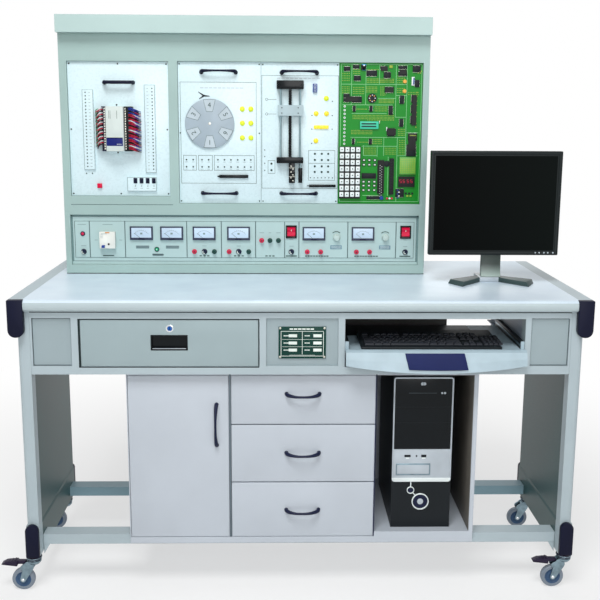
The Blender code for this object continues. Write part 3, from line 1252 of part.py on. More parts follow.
# Power strip: a sheet with raised plates, meters, holes for the rockers and knob shafts
def power_strip():
    body = box((POWER_BAY_LEFT + BOARD_FIT, POWER_BAY_RIGHT - BOARD_FIT), (FASCIA_FACE, BOARD_BACK),
               (POWER_BAY_BASE + BOARD_FIT, POWER_BAY_TOP - BOARD_FIT))
    long = STRIP_RIGHT - STRIP_LEFT
    for left, right in zip(PLATE_SHARES, PLATE_SHARES[1:]):
        ends = (STRIP_LEFT + left * long + PLATE_GAP / 2, STRIP_LEFT + right * long - PLATE_GAP / 2)
        join(body, raised(ends, (STRIP_BASE, STRIP_TOP), PLATE_RISE, FASCIA_FACE))
    for share in METER_SHARES:
        left = STRIP_LEFT + share * long
        join(body, raised((left, left + METER_WIDE), (METER_BASE, METER_BASE + METER_TALL), METER_RISE,
                          PLATE_FACE))
    for x in ROCKER_XS:
        rim = raised(span(x, ROCKER_HALF + FIT + ROCKER_RIM), span(ROCKER_Z, ROCKER_HOLE_HALF + ROCKER_RIM),
                     ROCKER_RIM_RISE, PLATE_FACE)
        hole = box(span(x, ROCKER_HALF + FIT), (PLATE_FACE - ROCKER_RIM_RISE - OVERRUN, BOARD_BACK + OVERRUN),
                   span(ROCKER_Z, ROCKER_HOLE_HALF))
        cut(join(body, rim), hole)
    for x in KNOB_XS:
        cut(body, rod("Y", (x, KNOB_Z), KNOB_SHAFT + FIT, (PLATE_FACE - OVERRUN, BOARD_BACK + OVERRUN),
                      PIN_SIDES))
    return body


def rocker(x):
    """A rocker that turns about X: a round back and a shallow V in front."""
    axis_y = PLATE_FACE + ROCKER_DEEP
    body = rod("X", (axis_y, ROCKER_Z), ROCKER_RADIUS, span(x, ROCKER_HALF), 2 * ROCKER_SIDES)
    front = axis_y - ROCKER_RADIUS
    low, high = ROCKER_Z - ROCKER_RADIUS, ROCKER_Z + ROCKER_RADIUS
    vee = prism("X", [(front - OVERRUN, high), (front - OVERRUN, low), (axis_y - ROCKER_FLAT, low),
                      (axis_y - ROCKER_FLAT + LAP, ROCKER_Z), (front, high)], span(x, ROCKER_HALF + OVERRUN))
    return cut(body, vee)


def voltage_knob(x):
    body = rod("Y", (x, KNOB_Z), KNOB_RADIUS, (PLATE_FACE - FIT - KNOB_TALL, PLATE_FACE - FIT))
    skirt = rod("Y", (x, KNOB_Z), KNOB_SKIRT,
                (PLATE_FACE - FIT - KNOB_SKIRT_TALL, PLATE_FACE - FIT - KNOB_SKIRT_STEP))
    shaft = rod("Y", (x, KNOB_Z), KNOB_SHAFT, (PLATE_FACE - LAP, PLATE_FACE + KNOB_SHAFT_LONG), PIN_SIDES)
    return join(body, skirt, shaft)


place("power_fascia", power_strip(), "board white")
breaker_face = PLATE_FACE - FIT - BREAKER_DEEP
breaker = box(BREAKER_X, (breaker_face, PLATE_FACE - FIT), BREAKER_Z)
join(breaker, rod("Y", (BREAKER_TEST_X, BREAKER_TEST_Z), BREAKER_TEST,
                  (breaker_face - LAP, breaker_face + LAP), PIN_SIDES))
cut(breaker, slot(BREAKER_LEVER_X, BREAKER_LEVER_HALF + FIT, (breaker_face, breaker_face + BREAKER_SLOT_DEEP),
                  BREAKER_LEVER_Z, BREAKER_SLOT_HALF))
place("breaker_body", breaker, "unit grey")
breaker_at = (BREAKER_LEVER_X, breaker_face + BREAKER_LEVER_DEEP, BREAKER_LEVER_Z)
place("breaker_lever", lever(breaker_at, BREAKER_HUB, BREAKER_LEVER_HALF, BREAKER_LEVER_LONG,
                             BREAKER_LEVER_THICK, BREAKER_LEAN), "knob", breaker_at)
mains = place("mains_rocker", rocker(ROCKER_XS[0]), "rocker red",
              (ROCKER_XS[0], PLATE_FACE + ROCKER_DEEP, ROCKER_Z), True)
twin("supply_rocker", mains, (ROCKER_XS[1] - ROCKER_XS[0], 0, 0))
fixed_knob = place("left_voltage_knob", voltage_knob(KNOB_XS[0]), "knob", (KNOB_XS[0], PLATE_FACE, KNOB_Z),
                   True)
twin("right_voltage_knob", fixed_knob, (KNOB_XS[1] - KNOB_XS[0], 0, 0))

# The pieces given from the worktop's upper face are raised to it, and the rig stands on the
# floor with the middle of its outer box over the origin
for obj in nodes[on_floor:]:
    obj.location.z += TOP_HEIGHT
bpy.context.view_layer.update()
points = [obj.matrix_world @ vert.co for obj in nodes for vert in obj.data.vertices]
lows = [min(point[index] for point in points) for index in range(3)]
highs = [max(point[index] for point in points) for index in range(3)]
rig.location = (-(lows[0] + highs[0]) / 2, -(lows[1] + highs[1]) / 2, -lows[2])
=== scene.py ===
# %% [markdown]
# # A controller training rig
# The rig is a wheeled desk with a drawer, a keyboard tray, a cabinet and a computer. An upright
# console stands on it and holds experiment boards and a row of meters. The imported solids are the
# frame: each new piece is placed on them, and rides on the body that carries it.

# %% Load the frame
from math import atan2, cos, pi, radians, sin

import bmesh
import bpy
from mathutils import Matrix, Vector, noise


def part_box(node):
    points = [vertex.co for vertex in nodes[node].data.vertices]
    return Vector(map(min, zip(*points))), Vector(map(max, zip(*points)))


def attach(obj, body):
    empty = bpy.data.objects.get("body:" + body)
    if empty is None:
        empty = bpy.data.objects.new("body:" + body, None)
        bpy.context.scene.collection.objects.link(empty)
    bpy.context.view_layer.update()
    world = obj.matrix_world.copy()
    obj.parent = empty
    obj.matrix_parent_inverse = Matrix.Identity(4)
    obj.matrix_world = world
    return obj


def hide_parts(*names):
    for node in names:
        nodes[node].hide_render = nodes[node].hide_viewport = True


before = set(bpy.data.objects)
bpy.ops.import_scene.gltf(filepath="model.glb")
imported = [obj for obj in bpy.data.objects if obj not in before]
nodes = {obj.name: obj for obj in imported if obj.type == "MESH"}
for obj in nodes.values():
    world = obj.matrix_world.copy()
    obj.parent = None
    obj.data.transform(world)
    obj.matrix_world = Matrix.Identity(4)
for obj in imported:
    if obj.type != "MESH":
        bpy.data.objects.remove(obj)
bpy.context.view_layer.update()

# %% [markdown]
# Places are written from the middle of the worktop's front edge at floor level, because that is
# where a maker would hook a tape measure. One helper turns such a place into the frame's own.

# %% The datum
worktop_low, worktop_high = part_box("table_top")
DATUM = Vector(((worktop_low.x + worktop_high.x) / 2, worktop_low.y, 0))
MM = 0.001


def at(x, y, z):
    """A place given from the desk's datum, in metres."""
    return DATUM + Vector((x, y, z))


print("datum:", tuple(round(v, 4) for v in DATUM))

# %% [markdown]
# The camera stands a little above the worktop and looks slightly down, which shows the worktop
# as a narrow band and the hood from the front. Its height, pitch and lens follow from the
# perspective of the desk's straight edges.

# %% Camera
camera = bpy.data.objects.new("camera", bpy.data.cameras.new("camera"))
bpy.context.scene.collection.objects.link(camera)
camera.data.lens = 56.76
camera.data.clip_start, camera.data.clip_end = 0.05, 60
aim = (Matrix.Rotation(-radians(1.396), 4, "Z") @ Matrix.Rotation(pi / 2 - radians(10.94), 4, "X")
       @ Matrix.Rotation(radians(0.349), 4, "Z"))
camera.matrix_world = Matrix.Translation(at(-0.0689, -2.5197, 1.35)) @ aim
bpy.context.scene.camera = camera
bpy.context.scene.view_settings.view_transform = "Standard"

# %% [markdown]
# Materials are built from nodes. One helper adds a node with its settings and links, and one
# turns a colour as a designer writes it into the linear values that a shader needs.

# %% Node helpers
def linear(level):
    return level / 12.92 if level <= 0.04045 else ((level + 0.055) / 1.055) ** 2.4


def colour(code):
    """An sRGB hex value as linear red, green, blue and alpha."""
    return (*[linear((code >> shift & 255) / 255) for shift in (16, 8, 0)], 1)


def feed(tree, node, inputs):
    """Gives each input of a node its value, or the output socket that feeds it."""
    for name, value in inputs.items():
        if isinstance(value, bpy.types.NodeSocket):
            tree.links.new(value, node.inputs[name])
        else:
            node.inputs[name].default_value = value


def add(tree, kind, inputs=None, **settings):
    """Adds one node with its settings and inputs."""
    made = tree.nodes.new(kind)
    for name, value in settings.items():
        setattr(made, name, value)
    feed(tree, made, inputs or {})
    return made


def blank(name):
    """A new material: its tree, its shader, and the object's own coordinates."""
    material = bpy.data.materials.new(name)
    material.use_nodes = True
    tree = material.node_tree
    spots = add(tree, "ShaderNodeTexCoord").outputs["Object"]
    return material, tree, tree.nodes["Principled BSDF"], spots


def cloud(tree, where, mm, detail=3):
    """Soft noise; its grain has a size in millimetres."""
    return add(tree, "ShaderNodeTexNoise",
               {"Vector": where, "Scale": 1 / (mm * MM), "Detail": detail}).outputs["Fac"]


def spread(tree, value, low, high, start=0, end=1):
    """Turns a value that runs from start to end into one that runs from low to high."""
    ends = {"From Min": start, "From Max": end, "To Min": low, "To Max": high}
    return add(tree, "ShaderNodeMapRange", {"Value": value, **ends}).outputs[0]


def maths(tree, operation, first, second=0.5):
    """One step of arithmetic."""
    return add(tree, "ShaderNodeMath", {0: first, 1: second}, operation=operation).outputs[0]


def mix(tree, share, first, second):
    """Goes from the first colour to the second while share goes from 0 to 1."""
    return add(tree, "ShaderNodeMix", {0: share, 6: first, 7: second}, data_type="RGBA").outputs[2]


def toned(tree, shade, tone):
    """A colour made lighter or darker by a factor."""
    return add(tree, "ShaderNodeVectorMath", {0: shade, "Scale": tone}, operation="SCALE").outputs[0]


def bumps(tree, height, strength, mm, **more):
    """Tilts the surface as if height were a relief of some millimetres."""
    values = {"Strength": strength, "Distance": mm * MM, "Height": height, **more}
    return add(tree, "ShaderNodeBump", values).outputs[0]


def parts_of(tree, vector):
    """The X, Y and Z of a vector, each as a socket."""
    return add(tree, "ShaderNodeSeparateXYZ", {"Vector": vector}).outputs


def looked_at(tree):
    """1 where the camera, a gloss or a clear piece looks straight at the surface, else 0."""
    ray = add(tree, "ShaderNodeLightPath").outputs
    seen = maths(tree, "MAXIMUM", ray["Is Camera Ray"], ray["Is Glossy Ray"])
    return maths(tree, "MAXIMUM", seen, ray["Is Transmission Ray"])


# %% [markdown]
# The photographer's paper is white all round. The floor keeps a soft shadow near the wheels and
# fades to plain white further out, so no horizon shows behind the rig. The sky is grey for the
# light that it sends and white where the camera or a gloss looks straight at it.

# %% Floor, sky and lamps
floor_mesh = bmesh.new()
bmesh.ops.create_grid(floor_mesh, x_segments=1, y_segments=1, size=20)
floor = bpy.data.objects.new("floor", bpy.data.meshes.new("floor"))
floor_mesh.to_mesh(floor.data)
floor_mesh.free()
bpy.context.scene.collection.objects.link(floor)

FLOOR_LIGHT, SKY_LIGHT = 0.55, 0.3  # share of white light near the rig, and of the sky
FADE = 0.7, 2.6  # the shadow's paper turns plain white between these distances, in metres
paper, tree, shader, spots = blank("studio paper")
tint = spread(tree, cloud(tree, spots, 4, 2), 0.9, 0.93)
shade = add(tree, "ShaderNodeCombineColor", {"Red": tint, "Green": tint, "Blue": tint})
feed(tree, shader, {"Base Color": shade.outputs[0], "Roughness": 0.9})
reach = add(tree, "ShaderNodeVectorMath", {0: spots}, operation="LENGTH")
fade = add(tree, "ShaderNodeMapRange", {"Value": reach.outputs["Value"], "From Min": FADE[0],
                                        "From Max": FADE[1], "To Min": FLOOR_LIGHT, "To Max": 1},
           interpolation_type="SMOOTHSTEP")
share = maths(tree, "MULTIPLY", fade.outputs[0], looked_at(tree))
white = add(tree, "ShaderNodeEmission", {"Color": (1, 1, 1, 1), "Strength": 1})
both = add(tree, "ShaderNodeMixShader", {0: share, 1: shader.outputs[0], 2: white.outputs[0]})
feed(tree, tree.nodes["Material Output"], {"Surface": both.outputs[0]})
floor.data.materials.append(paper)

sky = bpy.data.worlds.new("studio")
bpy.context.scene.world = sky
sky.use_nodes = True
tree = sky.node_tree
feed(tree, tree.nodes["Background"],
     {"Color": (1, 1, 1, 1), "Strength": spread(tree, looked_at(tree), SKY_LIGHT, 1)})


def lamp(name, place, target, size, watts):
    """A square soft box that points at a place."""
    light = bpy.data.lights.new(name, "AREA")
    light.shape, light.size, light.energy = "SQUARE", size, watts
    obj = bpy.data.objects.new(name, light)
    bpy.context.scene.collection.objects.link(obj)
    obj.location = place
    obj.rotation_euler = (Vector(target) - Vector(place)).to_track_quat("-Z", "Y").to_euler()


lamp("key", (-0.5, -2.6, 4.4), (0, 0, 0.8), 1.7, 118)
lamp("fill", (0.5, -3.9, 1.9), (0, 0, 1), 1.8, 42)
lamp("rim", (0.4, 3.2, 2.8), (0, 0, 1), 2, 26)
print("lamps: 3")

# %% [markdown]
# Powder-coated sheet steel covers the desk, the cabinet and the console. The powder melts into
# an even satin film with a fine orange peel, so the eye sees one calm colour with a soft sheen
# that breaks up slightly. Peel is near 1.5 mm; it is drawn at 3 mm so that it shows.

# %% Painted steel
def edge_of(tree, radius):
    """The normal as if edges were rounded, and how sharp the edge is here, from 0 on a flat face."""
    soft = add(tree, "ShaderNodeBevel", {"Radius": radius}, samples=4).outputs["Normal"]
    flat = add(tree, "ShaderNodeNewGeometry").outputs["Normal"]
    match = add(tree, "ShaderNodeVectorMath", {0: soft, 1: flat}, operation="DOT_PRODUCT")
    return soft, maths(tree, "SUBTRACT", 1, match.outputs["Value"])


def powder_coat(name, code, sheen=0.42, bare=0x9AA3A6, painted_shade=()):
    """Powder-coated steel: orange peel, slight drift of tone, a worn lighter film on edges, and painted
    shade.

    The painted shade comes as triples: a side, a limit and the colour of all that lies within the limit
    sideways (X), behind it (Y) or in front of it (F), measured from the datum.
    """
    material, tree, shader, spots = blank(name)
    tone = spread(tree, cloud(tree, spots, 180), 0.955, 1.03, 0.3, 0.7)
    paint, split = None, parts_of(tree, spots)
    for side, limit, other in painted_shade:
        axis = 0 if side == "X" else 1
        reach = maths(tree, "SUBTRACT", split[axis], DATUM[axis])
        if side == "X":
            reach = maths(tree, "ABSOLUTE", reach)
        past = maths(tree, "GREATER_THAN" if side == "Y" else "LESS_THAN", reach, limit)
        paint = mix(tree, past, paint or colour(code), colour(other))
    base = toned(tree, paint or colour(code)[:3], tone)
    round_edge, sharp = edge_of(tree, 1.2 * MM)
    worn = spread(tree, maths(tree, "MULTIPLY", sharp, cloud(tree, spots, 9, 4)), 0, 0.4, 0.03, 0.12)
    peel = cloud(tree, spots, 3, 2)
    feed(tree, shader, {"Base Color": mix(tree, worn, base, colour(bare)), "IOR": 1.5,
                        "Roughness": spread(tree, peel, sheen - 0.06, sheen + 0.08),
                        "Normal": bumps(tree, peel, 0.25, 0.2, Normal=round_edge)})
    return material


FRAME_GREY = 0xAEBDC3
# The rear rail, more than 0.3 m back, gets a darker blue grey: painted shade.
frame_coat = powder_coat("powder coat, frame grey", FRAME_GREY, painted_shade=[("Y", 0.3, 0x86A6B2)])
# The inner faces of the side frames get a dark green: painted shade; their front strip keeps the plain grey.
side_coat = powder_coat("powder coat, frame grey, painted shade on inner faces", FRAME_GREY,
                        painted_shade=[("X", 0.749, 0x1C4646), ("F", 0.0552, FRAME_GREY)])
# Faces further back in the desk housing get darker colours, near black on the rear sheet: painted shade.
housing_coat = powder_coat("powder coat, frame grey, painted shade in the housing", FRAME_GREY,
                           painted_shade=[("Y", 0.0215, 0x98A8AD), ("Y", 0.06, 0x93A0B0), ("Y", 0.43, 0x2B2622)])
cabinet_coat = powder_coat("powder coat, cabinet grey", 0xBEC6CF)
drawer_coat = powder_coat("powder coat, drawer grey", 0x9AACB0)
console_coat = powder_coat("powder coat, console green", 0xA0BAB6)
hood_coat = powder_coat("powder coat, hood green", 0xB2CAC7)

# %% [markdown]
# The worktop is a melamine laminate on chipboard: paper pressed under clear resin. It has a very
# fine fleck, a flat surface with a satin gloss, and smears where hands have wiped it.

# %% Laminate
def laminate(name, code, fleck_code, band_code):
    """Speckled laminate on the flat faces, and a plain edge band wherever the surface looks sideways."""
    material, tree, shader, spots = blank(name)
    fleck = cloud(tree, spots, 2.5)
    both = maths(tree, "MULTIPLY", fleck, cloud(tree, spots, 120, 2))
    speckled = mix(tree, spread(tree, both, 0, 1, 0.14, 0.4), colour(fleck_code), colour(code))
    lie = parts_of(tree, add(tree, "ShaderNodeNewGeometry").outputs["Normal"])
    flat = spread(tree, lie["Z"], 0, 1, 0.45, 0.75)
    wipe = add(tree, "ShaderNodeMapping",
               {"Vector": spots, "Scale": (1 / (260 * MM), 1 / (40 * MM), 1 / (40 * MM))})
    smear = cloud(tree, wipe.outputs[0], 1 / MM)
    feed(tree, shader, {"Base Color": mix(tree, flat, colour(band_code), speckled), "IOR": 1.55,
                        "Roughness": spread(tree, smear, 0.3, 0.44), "Normal": bumps(tree, fleck, 0.12, 0.1)})
    return material


worktop_laminate = laminate("melamine laminate, pale blue, grey edge band", 0xDFEFFA, 0xD1E2F0, 0xB4C3C7)

# %% [markdown]
# Caps, computer, keyboard and fittings are injection-moulded ABS. The mould's spark-eroded wall
# leaves a fine even grain on matt pieces, and a polished mould leaves none on glossy ones. The
# grain is near 0.8 mm and is drawn at 1.5 mm.

# %% Moulded plastics
def moulded(name, code, sheen=0.45, grain_mm=1.5, depth=0.3, glow=0):
    """Moulded plastic; dark ones get less specular, as carbon black kills the haze under the skin."""
    material, tree, shader, spots = blank(name)
    grain = cloud(tree, spots, grain_mm)
    tone = spread(tree, cloud(tree, spots, 60, 2), 0.92, 1.06, 0.3, 0.7)
    feed(tree, shader, {"Base Color": toned(tree, colour(code)[:3], tone), "IOR": 1.53,
                        "Roughness": spread(tree, grain, sheen - 0.05, sheen + 0.07),
                        "Normal": bumps(tree, grain, depth, 0.15),
                        "Specular IOR Level": 0.5 if code >> 8 & 255 > 0x60 else 0.16})
    if glow:
        feed(tree, shader, {"Emission Color": colour(code), "Emission Strength": glow})
    return material


navy_abs = moulded("ABS, navy, grained", 0x080C26, 0.48)
navy_gloss = moulded("nylon, navy, satin", 0x161C38, 0.32, depth=0.1)
black_abs = moulded("ABS, black, grained", 0x171C20, 0.42)
black_gloss = moulded("ABS, black, polished", 0x0B1115, 0.16, depth=0.05)
keycap_black = moulded("ABS keycap, charcoal", 0x24272E, 0.4, depth=0.2)
silver_paint = moulded("ABS, silver paint", 0xB4BEC6, 0.3, grain_mm=0.8, depth=0.15)
tray_abs = moulded("ABS, pale blue grey", 0xAABFC9, 0.38, depth=0.15)
ivory_abs = moulded("ABS, warm white", 0xE8E9E2, 0.42)
white_keys = moulded("ABS keycap, white", 0xE6EFEF, 0.4, depth=0.15)
# The red parts get a faint emission, a painted glow, though the push button and terminal collars are no
# lamps.
red_gloss = moulded("polycarbonate, red, painted glow", 0xD01440, 0.18, depth=0.05, glow=0.12)
red_terminal = moulded("nylon, red", 0xCE2A50, 0.3, depth=0.1)
green_lamp = moulded("lens, green", 0x22A97A, 0.2, depth=0.05, glow=0.15)
dark_green_abs = moulded("nylon, dark green", 0x1E4A44, 0.32, depth=0.1)
lime_lens = moulded("lens, yellow green", 0xD9E82C, 0.22, depth=0.05, glow=0.18)
yellow_lens = moulded("lens, yellow", 0xF3DC2A, 0.22, depth=0.05, glow=0.18)
# The blue parts get a faint emission, a painted glow, though the breaker lever is no lamp.
blue_lens = moulded("lens, blue, painted glow", 0x24408E, 0.15, depth=0.05, glow=0.05)
orange_abs = moulded("ABS, orange mark", 0xD98A3C, 0.4)
ink = moulded("screen-print ink, dark green grey", 0x3C5450, 0.55, depth=0.05)
pale_ink = moulded("screen-print ink, white", 0xE6F0EA, 0.5, depth=0.05)
pad_rubber = moulded("soft-touch rubber, navy", 0x182252, 0.55, grain_mm=2, depth=0.6)
wire_colours = [moulded(f"PVC sheath, {label}", code, 0.35, depth=0.05)
                for label, code in (("black", 0x16181C), ("red", 0xC0203C), ("blue", 0x2038A0),
                                    ("white", 0xDDE0E2), ("green", 0x2FA070))]
print("plastics made")

# %% [markdown]
# Bare metals are told apart by their finish. Zinc plate on the castors is bluish with cloudy
# patches. Machined aluminium shows the fine rings of the lathe, which stretch a highlight. Chrome
# on the lock is smooth and only reflects.

# %% Metals
def metal(name, code, sheen, grain_mm=1.2, along=(1, 1, 1), patchy=0.12):
    """Bare metal; along stretches its brushed grain, patchy is how much its tone drifts."""
    material, tree, shader, spots = blank(name)
    stretch = add(tree, "ShaderNodeMapping", {"Vector": spots, "Scale": along})
    brush = cloud(tree, stretch.outputs[0], grain_mm)
    tone = spread(tree, cloud(tree, spots, 14), 1 - patchy, 1 + patchy / 2, 0.3, 0.7)
    feed(tree, shader, {"Base Color": toned(tree, colour(code)[:3], tone), "Metallic": 1,
                        "Roughness": spread(tree, brush, sheen - 0.06, sheen + 0.1),
                        "Normal": bumps(tree, brush, 0.15, 0.05)})
    return material


zinc_plate = metal("zinc plate, blue passivated", 0x8498A2, 0.34, patchy=0.25)
machined_steel = metal("turned steel", 0xC4CACD, 0.24, grain_mm=0.8, along=(0.2, 1, 1))
chrome = metal("chrome plate", 0xE2E6E8, 0.12, patchy=0.04)
nickel = metal("nickel plate", 0xC8C8BE, 0.26, patchy=0.06)
print("metals made")

# %% [markdown]
# Pieces are built in a few strokes: rounded blocks, round bars, turned shapes and bent tubes,
# each from one of Blender's own operators. Every stroke is shaped in a bmesh of its own and then
# taken into the piece, so that an operator never reaches the strokes made before. The first helpers
# are the single moves of the workshop: a cube, a rounded edge, a cut line and a face pushed in.

# %% Shape helpers
FORWARD = Matrix.Rotation(pi / 2, 4, "X")


def take(bm, part, paint=0, move=None):
    """Moves one finished shape into a piece; paint is the number of its material slot."""
    if move is not None:
        part.transform(move)
    for face in part.faces:
        face.material_index = paint
    mesh = bpy.data.meshes.new("stroke")
    part.to_mesh(mesh)
    part.free()
    bm.from_mesh(mesh)
    bpy.data.meshes.remove(mesh)


def cube(size, middle=None):
    """A block around the origin, or around a given middle."""
    part = bmesh.new()
    bmesh.ops.create_cube(part, size=1)
    bmesh.ops.scale(part, vec=size, verts=part.verts)
    if middle is not None:
        bmesh.ops.translate(part, vec=middle, verts=part.verts)
    return part


def span(x, y, z):
    """The size and the middle of a box from low to high on each axis, measured from the datum."""
    low, high = at(x[0], y[0], z[0]), at(x[1], y[1], z[1])
    return high - low, (low + high) / 2


def about(middle, half):
    """From half below a middle to half above it."""
    return middle - half, middle + half


def bends(part, angle):
    """The edges whose faces meet at more than an angle, in radians."""
    return [edge for edge in part.edges if edge.calc_face_angle(0) > angle]


def rounded(part, edges, width, segments=2):
    """Rounds edges over."""
    bmesh.ops.bevel(part, geom=edges, offset=width, offset_type="OFFSET", affect="EDGES", segments=segments,
                    profile=0.5, material=-1)


def cut(part, place, across):
    """Draws the line of a plane into the faces of a shape."""
    bmesh.ops.bisect_plane(part, geom=part.verts[:] + part.edges[:] + part.faces[:], plane_co=place,
                           plane_no=across)


def push(part, faces, way):
    """Moves faces off their place and joins each to it with walls."""
    moved = bmesh.ops.extrude_discrete_faces(part, faces=faces)["faces"]
    for face in moved:
        bmesh.ops.translate(part, verts=face.verts, vec=way)
    return moved


def block(bm, x, y, z, soft=0, paint=0, segments=2, turn=None):
    """A box from low to high on each axis, measured from the datum, with rounded edges."""
    size, middle = span(x, y, z)
    part = cube(size)
    if soft:
        rounded(part, part.edges[:], soft, segments)
    take(bm, part, paint, Matrix.Translation(middle) @ (turn or Matrix()))


def panels(bm, face, rows):
    """Blocks on a face; a row holds left, right, front and back of the face, bottom, top, softness, paint."""
    for left, right, front, back, low, high, soft, paint in rows:
        block(bm, (left, right), (face + front, face + back), (low, high), soft, paint)


def aimed(place, way):
    """The move that takes a shape from the origin to a place, with its Z axis pointing some way."""
    return Matrix.Translation(place) @ Vector(way).to_track_quat("Z", "Y").to_matrix().to_4x4()


def rod(bm, start, end, radius, paint=0, segments=20, tip=None, soft=0):
    """A round bar between two places; tip is its radius at the far end."""
    along = end - start
    part = bmesh.new()
    bmesh.ops.create_cone(part, cap_ends=True, segments=segments, radius1=radius,
                          radius2=radius if tip is None else tip, depth=along.length)
    if soft:
        rounded(part, bends(part, 1), soft)
    take(bm, part, paint, aimed((start + end) / 2, along))


def turned(bm, place, profile, paint=0, steps=28, axis=(0, -1, 0)):
    """A lathe shape, facing forward unless told; its profile is pairs of radius and height along the axis."""
    part = bmesh.new()
    line = [part.verts.new((radius, 0, height)) for radius, height in profile]
    edges = [part.edges.new(pair) for pair in zip(line, line[1:])]
    bmesh.ops.spin(part, geom=line + edges, cent=(0, 0, 0), axis=(0, 0, 1), dvec=(0, 0, 0), angle=2 * pi,
                   steps=steps, use_merge=True)
    bmesh.ops.remove_doubles(part, verts=part.verts, dist=1e-6)
    bmesh.ops.recalc_face_normals(part, faces=part.faces)
    take(bm, part, paint, aimed(place, axis))


def tube(bm, path, radius, paint=0, widths=None, around=5):
    """A bent round bar through places; widths gives each place's share of the radius."""
    curve = bpy.data.curves.new("tube", "CURVE")
    curve.dimensions, curve.bevel_depth, curve.bevel_resolution = "3D", radius, around
    curve.use_fill_caps, curve.resolution_u = True, 6
    line = curve.splines.new("NURBS")
    line.points.add(len(path) - 1)
    for point, place, width in zip(line.points, path, widths or [1] * len(path)):
        point.co, point.radius = (*place, 1), width
    line.order_u, line.use_endpoint_u = 3, True
    holder = bpy.data.objects.new("tube", curve)
    mesh = bpy.data.meshes.new_from_object(holder)
    bpy.data.objects.remove(holder)
    part = bmesh.new()
    part.from_mesh(mesh)
    bmesh.ops.remove_doubles(part, verts=part.verts, dist=1e-6)
    bmesh.ops.recalc_face_normals(part, faces=part.faces)
    bpy.data.meshes.remove(mesh)
    bpy.data.curves.remove(curve)
    take(bm, part, paint)


def skin(bm, places, soft=0, paint=0):
    """The tight skin around a cloud of places, with rounded edges."""
    part = bmesh.new()
    for place in places:
        part.verts.new(place)
    found = bmesh.ops.convex_hull(part, input=part.verts[:])
    inner = [item for item in found["geom_interior"] + found["geom_unused"]
             if isinstance(item, bmesh.types.BMVert)]
    bmesh.ops.delete(part, geom=list(set(inner)), context="VERTS")
    bmesh.ops.dissolve_limit(part, angle_limit=radians(2), verts=part.verts[:], edges=part.edges[:])
    if soft:
        rounded(part, bends(part, 0.5), soft)
    bmesh.ops.recalc_face_normals(part, faces=part.faces)
    take(bm, part, paint)


def disc_edge(x, y, z, radius, steps=24):
    """Places around a disc that faces forward; y holds its front and back."""
    turns = [2 * pi * n / steps for n in range(steps)]
    return [at(x + radius * cos(turn), face, z + radius * sin(turn)) for face in y for turn in turns]


def piece(name, bm, body, materials, replaces=(), smooth=True):
    """Turns a built shape into an object that rides on a body."""
    mesh = bpy.data.meshes.new(name)
    bm.to_mesh(mesh)
    bm.free()
    for material in materials:
        mesh.materials.append(material)
    obj = bpy.data.objects.new(name, mesh)
    bpy.context.scene.collection.objects.link(obj)
    if smooth:
        mesh.shade_smooth()
        mesh.set_sharp_from_angle(angle=radians(32))
    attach(obj, body)
    if replaces:
        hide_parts(*replaces)
    return obj


def dress(material, *names):
    """Gives a carried-over solid its finish."""
    for name in names:
        mesh = nodes[name].data
        mesh.materials.clear()
        mesh.materials.append(material)


# %% [markdown]
# The plain steel pieces of the frame are right as they are, so they only get their finish. The navy
# caps get a new skin: the tight hull around the places of a rounded outline.

# %% Finishes of the carried-over solids
dress(worktop_laminate, "table_top")
dress(frame_coat, "front_rail", "rear_rail")
dress(side_coat, "left_side_frame", "right_side_frame")
dress(housing_coat, "desk_housing")
dress(cabinet_coat, "cabinet_carcass", "upper_drawer", "middle_drawer", "lower_drawer", "cabinet_door")
dress(drawer_coat, "desk_drawer")
dress(console_coat, "console_housing", "back_cover")
dress(hood_coat, "console_hood")
dress(navy_abs, "left_rear_foot_cap", "right_rear_foot_cap")
CAP_Y, FOOT_Y = (-0.0048, 0.0177), (0.0028, 0.0177)
for side, x in (("left", (-0.8, -0.7572)), ("right", (0.7572, 0.8))):
    outline = [at(across, deep, z) for across in x for deep in CAP_Y for z in (0.778, 0.861)]
    for across in (x[0] + 0.02, x[1] - 0.02):
        outline += disc_edge(across, CAP_Y, 0.7775, 0.02)
    bm = bmesh.new()
    skin(bm, outline, soft=0.0025)
    piece(f"{side}_cap_shell", bm, "desk", [navy_abs], [f"{side}_top_cap"])
for side, x in (("left", -0.7645), ("right", 0.7645)):
    bm = bmesh.new()
    skin(bm, disc_edge(x, FOOT_Y, 0.1908, 0.019, 40)
         + [at(across, deep, 0.1122) for across in about(x, 0.019) for deep in FOOT_Y], soft=0.0022)
    piece(f"{side}_foot_cap_shell", bm, "desk", [navy_abs], [f"{side}_front_foot_cap"])
print("finishes:", len([n for n in nodes.values() if n.data.materials]))

# %% [markdown]
# A bow handle is an arch of nylon-covered wire. Both feet are thick where the screws go in, and
# the grip in the middle is slimmer. A tube along a smooth path, with a width for each of its
# points, gives that swelling.

# %% Bow handles
def bow(bm, ends, out, radius, paint, sag=(0, 0, 0)):
    """An arch from one foot to the other; out is how far its middle stands off, sag leans it, in metres."""
    foot, far = ends
    shares = (0, 0, 0.1, 0.28, 0.5, 0.72, 0.9, 1, 1)
    rises = (0, 0.3, 0.66, 0.95, 1, 0.95, 0.66, 0.3, 0)
    widths = (1.3, 1.3, 1.12, 0.84, 0.72, 0.84, 1.12, 1.3, 1.3)
    path = [foot.lerp(far, share) + (Vector((0, -out, 0)) + Vector(sag)) * rise
            for share, rise in zip(shares, rises)]
    tube(bm, path, radius, paint, widths)


print("handle helper ready")

# %% [markdown]
# A drawer is a folded sheet-steel box behind a front with softly rounded edges. The box starts as
# one block: the lid face is inset by the thickness of the sheet and pushed down, so the walls and
# the floor stay one closed shape. A thin grey strip between the door and the drawers is painted
# shade in that gap, a navy edge strip stands at the drawers' right edge, and a dark sheet on the
# computer bay's right wall is painted shade.

